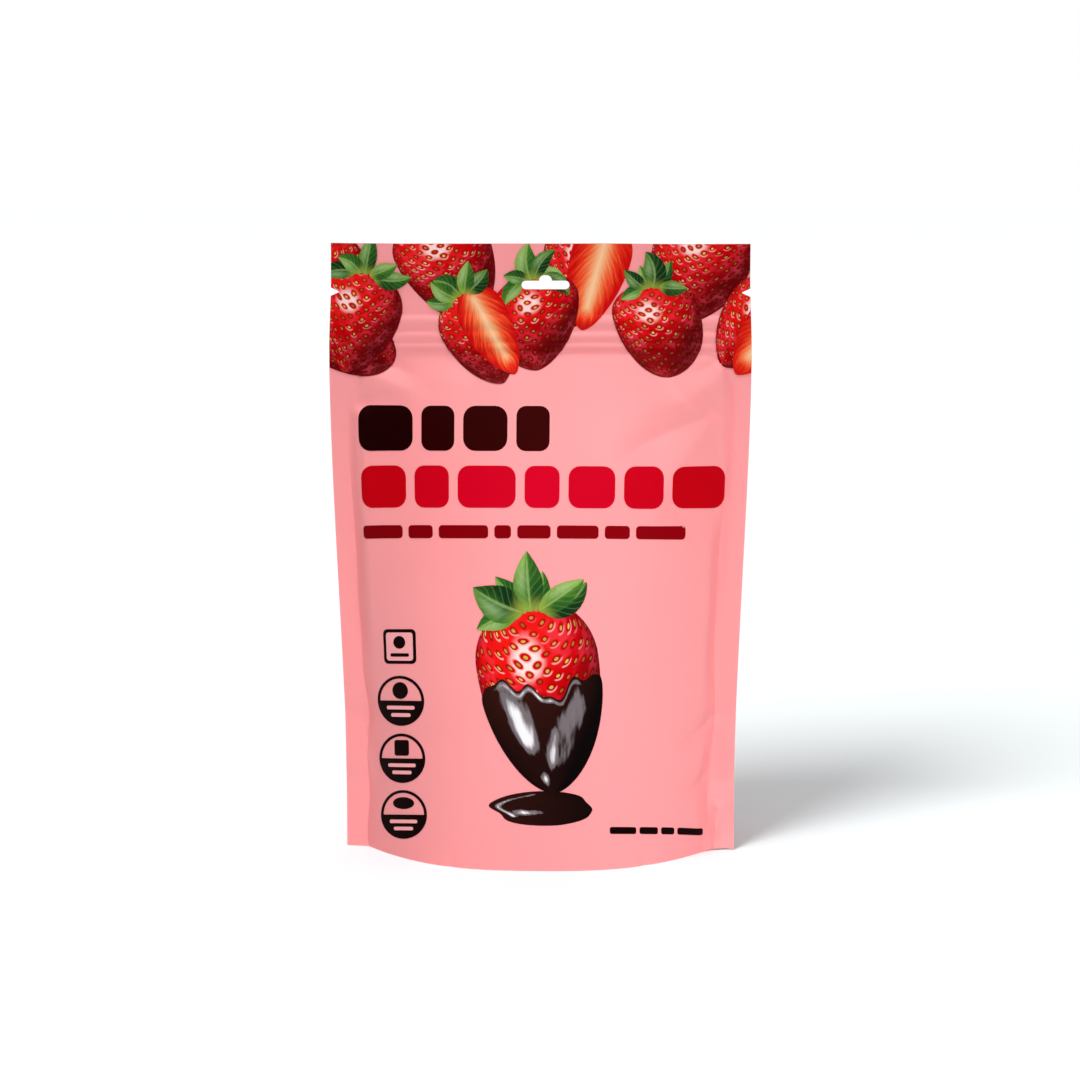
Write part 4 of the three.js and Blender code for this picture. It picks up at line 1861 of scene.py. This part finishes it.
@dataclass
class FrontPrint:
    """All that is printed on the front panel."""

    press: InkPress

    def build(self) -> None:
        """Print the band of fruit, the dipped berry, the bars and the badges."""
        self.fruit_band()
        self.dipped_berry()
        self.title_bars()
        self.badges()

    def fruit_band(self) -> None:
        """Print a band of whole and halved strawberries along the top."""
        band = Garden()
        band.halved(Spot(-93.0, 236.0, 40.0), 46.0, 34.0, 0, 11, 1)
        band.whole(Spot(-42.0, 247.0, 16.0), 43.0, 37.0, 0, 13, 0.2)
        band.halved(Spot(22.0, 246.0, -14.0), 44.0, 33.0, 0, 16, -1)
        band.whole(Spot(66.0, 249.0, -10.0), 44.0, 39.0, 0, 18, -0.15)
        band.whole(Spot(-86.0, 205.0, 66.0, 4), 34.0, 25.0, 0, 20)
        band.whole(Spot(-66.0, 226.0, -16.0, 8), 40.0, 34.0, 5, 12, 0.2)
        band.halved(Spot(-31.0, 217.0, 30.0, 8), 38.0, 27.0, 5, 14, -1)
        band.whole(Spot(-3.0, 224.0, 10.0, 4), 36.0, 34.0, 6, 15, -0.25)
        band.whole(Spot(42.0, 221.0, 6.0, 4), 36.0, 33.0, 6, 17, 0.2)
        band.halved(Spot(95.0, 220.0, -38.0, 8), 40.0, 31.0, 4, 19, -1)
        band.print_band(self.press, "fruit_band", Panel.FRONT)

    def dipped_berry(self) -> None:
        """Print one large strawberry, dipped in dark chocolate, in the middle."""
        middle = Garden(cell=0.9)
        top, size = Spot(-3.0, 103.0, 6.0, 1), (72.0, 24.0)
        shape = {"taper": 2.1, "blunt": 0.62, "lean": 0.1}
        berry = BerryBody(top, *size, 31.0, 0.9, seed_across=7.0, seed_along=6.0, **shape)
        middle.skins.append(berry)
        middle.add_leaves(top.beside(0.0, -3.5, 0.0, 1), 7, 20.0, 200.0, 32)
        coat = Dip(top.beside(0.0, 0.0, 0.0, 1), *size, 33.0, 0.8, **shape)
        pool = Pool(Spot(3.0, 31.5), 13.5, 21.0, 34.0, 0.8)
        self.press.lay("dipped_berry_skin", middle.skins, SKIN)
        self.press.lay("dipped_berry_leaves", middle.leaves, LEAF)
        self.press.lay("dipped_berry_coat", [coat, pool], CHOCOLATE)

    def bar_row(
        self, left: float, right: float, top: float, height: float, shares: tuple, gap: float,
        arched: bool = False,
    ) -> list[Motif]:
        """Lay out a row of bars.

        Args:
            left: Where the row starts.
            right: Where it ends.
            top: Level of the bars' top edges.
            height: Their height.
            shares: Their widths, as shares of the row.
            gap: Space between them.
            arched: Whether the tint is strongest in the middle, not at the right end.

        Returns:
            The bars.
        """
        room = right - left - gap * (len(shares) - 1)
        bars, start = [], left
        for share in shares:
            width = room * share / sum(shares)
            middle = start + width / 2
            tint = (middle - left) / (right - left)
            tint = 1.0 - abs(2.0 * tint - 1.0) if arched else tint
            corner = min(height, width) * 0.28
            bars.append(
                Bar(Spot(middle, top), height, width / 2, 0.0, 0.6, corner=corner, tint=tint)
            )
            start += width + gap
        return bars

    def title_bars(self) -> None:
        """Print the rows of bars that stand in for words."""
        big = self.bar_row(-69.0, 4.0, 174.8, 16.4, (5, 3, 4, 3), 3.4)
        red = self.bar_row(-68.5, 71.2, 153.0, 15.4, (4, 3, 5, 3, 4, 3.4, 4.6), 3.4, True)
        thin = self.bar_row(-68.4, 56.4, 131.2, 4.8, (5, 3, 6, 2, 4, 5, 3, 6), 2.4)
        self.press.lay("title_bars_brown", big, BROWN_INK)
        self.press.lay("title_bars_red", red, RED_INK)
        self.press.lay("title_bars_dark_red", thin, DARK_RED_INK)
        small = self.bar_row(29.0, 67.0, 17.6, 2.7, (2, 1.4, 1, 2), 1.4)
        self.press.lay("small_bars", small, BLACK_INK)

    def badges(self) -> None:
        """Print three round badges with plain shapes in them, and a small frame over them."""
        dark: list[Motif] = []
        pale: list[Motif] = []
        for x, z in ((-55.4, 65.7), (-55.4, 43.7), (-55.0, 21.8)):
            middle = Spot(x, z)
            dark.append(Ring(middle, 19.0, 0.55, 0.0, 0.5, height_share=0.95))
            dark.append(Disc(Spot(x, z + 8.8), 17.6, 9.3, 0.0, 0.6, low_half=True))
            for drop, half in ((2.6, 6.0), (5.4, 4.2)):
                pale.append(Bar(Spot(x, z - drop + 0.7, 0.0, 1), 1.4, half, 0.0, 0.7, corner=0.6))
        # a plain shape in each badge's upper half
        dark.append(Disc(Spot(-55.4, 72.8), 6.4, 3.3, 0.0, 0.5))
        dark.append(Bar(Spot(-55.4, 50.8), 6.0, 3.1, 0.0, 0.5, corner=0.9))
        dark.append(Disc(Spot(-55.0, 28.6), 4.6, 4.6, 0.0, 0.5))
        # the frame over them, a disc in it, and a short bar
        dark.append(Bar(Spot(-55.0, 92.8), 13.0, 6.8, 0.0, 0.6, corner=1.8))
        pale.append(Bar(Spot(-55.0, 91.6, 0.0, 1), 10.6, 5.6, 0.0, 0.6, corner=1.1))
        dark.append(Disc(Spot(-55.0, 90.3, 0.0, 2), 4.8, 2.5, 0.0, 0.5))
        dark.append(Bar(Spot(-55.0, 83.8, 0.0, 2), 1.3, 3.9, 0.0, 0.6, corner=0.5))
        self.press.lay("badges_dark", dark, BLACK_INK)
        self.press.lay("badges_pale", pale, PALE_INK)


@dataclass
class BackPrint:
    """All that is printed on the back panel."""

    press: InkPress
    line_count: int = 9
    line_halves: tuple[float, ...] = (44.0, 40.0, 42.0)
    first_line: float = 146.0
    line_space: float = 8.0

    def build(self) -> None:
        """Print a band of fruit, a pale panel and bars for its lines."""
        band = Garden()
        band.whole(Spot(-66.0, 238.0, 18.0), 38.0, 32.0, 0, 51)
        band.halved(Spot(-46.0, 218.0, -30.0, 2), 35.0, 25.0, 4, 52, 1)
        band.whole(Spot(-12.0, 236.0, -10.0), 36.0, 33.0, 5, 53)
        band.whole(Spot(28.0, 216.0, 25.0, 2), 33.0, 29.0, 5, 54)
        band.halved(Spot(42.0, 240.0, 8.0), 40.0, 29.0, 0, 55, -1)
        band.whole(Spot(74.0, 226.0, -22.0, 2), 36.0, 32.0, 5, 56)
        band.print_band(self.press, "back_band", Panel.BACK)
        panel = [Bar(Spot(0.0, 158.0), 118.0, 52.0, 0.0, 1.1, corner=6.0)]
        self.press.lay("back_panel", panel, PALE_INK, Panel.BACK)
        lines: list[Motif] = []
        for index in range(self.line_count):
            half = self.line_halves[index % len(self.line_halves)]
            level = self.first_line - self.line_space * index
            spot = Spot(half - self.line_halves[0], level, 0.0, 1)
            lines.append(Bar(spot, 2.6, half, 0.0, 0.9, corner=1.2))
        lines.append(Bar(Spot(-22.0, 70.0, 0.0, 1), 22.0, 22.0, 0.0, 0.9, corner=2.0))
        self.press.lay("back_lines", lines, DARK_RED_INK, Panel.BACK)


@dataclass(frozen=True)
class Beam:
    """A soft-edged spot lamp that fades from its middle outwards."""

    name: str
    place: Place
    aim: Place
    power: float
    angle: float = 20.0
    size: float = 0.15


@dataclass(frozen=True)
class Sun:
    """A sun with a wide disc, whose softness is the disc's angle in degrees."""

    name: str
    run: Place
    softness: float
    power: float


@dataclass
class Studio:
    """The floor, the light and the camera."""

    lens: float = 100.0
    camera_distance: float = 1144.7
    camera_height: float = 298.1
    camera_pitch: float = 8.751
    camera_yaw: float = 1.589
    sensor_width: float = 36.0
    clip_start: float = 0.05
    clip_end: float = 20.0
    room_level: float = 0.01
    strip_place: Place = (0.0, -0.35, 1.6)
    strip_aim: Place = (0.0, 0.0, 0.11)
    strip_length: float = 2.6
    strip_width: float = 0.3
    strip_power: float = 12.4
    beams: tuple[Beam, ...] = (
        Beam("high_beam", (0.2, -1.2, 1.0), (0.0, 0.0, 0.0), 37.2),
        Beam("top_beam", (0.1, -0.8, 1.4), (0.0, 0.0, 0.05), 25.9, 22.0),
        Beam("right_beam", (0.74, -1.11, 0.35), (0.06, 0.0, 0.0), 16.4),
        Beam("back_beam", (-0.2, 1.2, 0.9), (0.0, 0.0, 0.1), 24.0, 24.0),
    )
    suns: tuple[Sun, ...] = (
        Sun("shadow_sun", (0.72, 0.86, -1.0), 28.0, 2.82),
        Sun("wash_sun", (0.0, 0.05, -1.0), 150.0, 1.8),
    )
    floor_half: float = 6000.0
    floor_colour: Colour = (0.875, 0.922, 0.934)
    floor_roughness: float = 0.9

    def build(self) -> None:
        """Set up the floor, world, lamps and camera."""
        floor = self.make_floor()
        self.make_world()
        self.make_lamps(floor)
        self.make_camera()

    def make_camera(self) -> None:
        """Stand the camera a little right of the front and a little above."""
        data = bpy.data.cameras.new("camera")
        data.lens = self.lens
        data.sensor_width = self.sensor_width
        data.clip_start = self.clip_start
        data.clip_end = self.clip_end
        camera = bpy.data.objects.new("camera", data)
        yaw, pitch = math.radians(self.camera_yaw), math.radians(self.camera_pitch)
        away = self.camera_distance * MM
        camera.location = (away * math.sin(yaw), -away * math.cos(yaw), self.camera_height * MM)
        camera.rotation_euler = (math.pi / 2 - pitch, 0.0, yaw)
        bpy.context.scene.collection.objects.link(camera)
        bpy.context.scene.camera = camera

    def make_floor(self) -> bpy.types.Object:
        """Lay a wide, plain, near-white floor."""
        mesh = bmesh.new()
        bmesh.ops.create_grid(mesh, x_segments=1, y_segments=1, size=self.floor_half)
        floor = object_from(mesh, "floor")
        finish = bpy.data.materials.new("floor_white")
        finish.use_nodes = True
        shader = finish.node_tree.nodes["Principled BSDF"]
        shader.inputs["Base Color"].default_value = (*self.floor_colour, 1.0)
        shader.inputs["Roughness"].default_value = self.floor_roughness
        floor.data.materials.append(finish)
        return floor

    def make_world(self) -> None:
        """Fill the room with soft white light, before a plain white backdrop."""
        world = bpy.data.worlds.new("studio")
        world.use_nodes = True
        nodes, links = world.node_tree.nodes, world.node_tree.links
        room = nodes["Background"]
        room.inputs["Color"].default_value = WHITE
        room.inputs["Strength"].default_value = self.room_level
        backdrop = nodes.new("ShaderNodeBackground")
        backdrop.inputs["Color"].default_value = WHITE
        seen = nodes.new("ShaderNodeLightPath")
        choose = nodes.new("ShaderNodeMixShader")
        links.new(seen.outputs["Is Camera Ray"], choose.inputs["Fac"])
        links.new(room.outputs["Background"], choose.inputs[1])
        links.new(backdrop.outputs["Background"], choose.inputs[2])
        links.new(choose.outputs["Shader"], nodes["World Output"].inputs["Surface"])
        bpy.context.scene.world = world

    def make_lamps(self, floor: bpy.types.Object) -> None:
        """Hang a strip and four beams for the pouch, and two suns that only the floor sees."""
        strip = bpy.data.lights.new("strip", "AREA")
        strip.shape = "RECTANGLE"
        strip.size = self.strip_length
        strip.size_y = self.strip_width
        strip.energy = self.strip_power
        run = Vector(self.strip_aim) - Vector(self.strip_place)
        self.hang(strip, run, floor, "EXCLUDE").location = self.strip_place
        for beam in self.beams:
            spot = bpy.data.lights.new(beam.name, "SPOT")
            spot.energy = beam.power
            spot.spot_size = math.radians(beam.angle)
            spot.spot_blend = 1.0
            spot.shadow_soft_size = beam.size
            run = Vector(beam.aim) - Vector(beam.place)
            self.hang(spot, run, floor, "EXCLUDE").location = beam.place
        for sun in self.suns:
            disc = bpy.data.lights.new(sun.name, "SUN")
            disc.angle = math.radians(sun.softness)
            disc.energy = sun.power
            self.hang(disc, Vector(sun.run), floor, "INCLUDE")

    def hang(
        self, light: bpy.types.Light, run: Vector, floor: bpy.types.Object, link: str
    ) -> bpy.types.Object:
        """Add a lamp that shines along a direction, on the floor alone or on all but the floor.

        Args:
            light: The light's data.
            run: The direction that it shines in.
            floor: The floor.
            link: INCLUDE to light the floor alone, or EXCLUDE to leave it out.

        Returns:
            The lamp's object.
        """
        lamp = bpy.data.objects.new(light.name, light)
        lamp.rotation_euler = run.to_track_quat("-Z", "Y").to_euler()
        bpy.context.scene.collection.objects.link(lamp)
        group = bpy.data.collections.new(light.name)
        group.objects.link(floor)
        group.collection_objects[0].light_linking.link_state = link
        lamp.light_linking.receiver_collection = group
        return lamp


def main() -> None:
    """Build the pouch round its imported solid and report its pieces."""
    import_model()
    scene = bpy.context.scene
    scene.view_settings.view_transform = "Standard"
    form = PouchForm.from_solid()
    cut_outs = CutOuts(form)
    cut_outs.build()
    film = FilmBody(form, cut_outs).build()
    film.data.materials.append(FILM.material())
    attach(film, BODY)
    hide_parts(NODE)
    LOG.info("film: %d faces", len(film.data.polygons))
    cut_outs.discard()
    press = InkPress(form, cut_outs)
    FrontPrint(press).build()
    BackPrint(press).build()
    Studio().build()


if __name__ == "__main__":
    logging.basicConfig(level=logging.INFO, format="%(message)s")
    main()
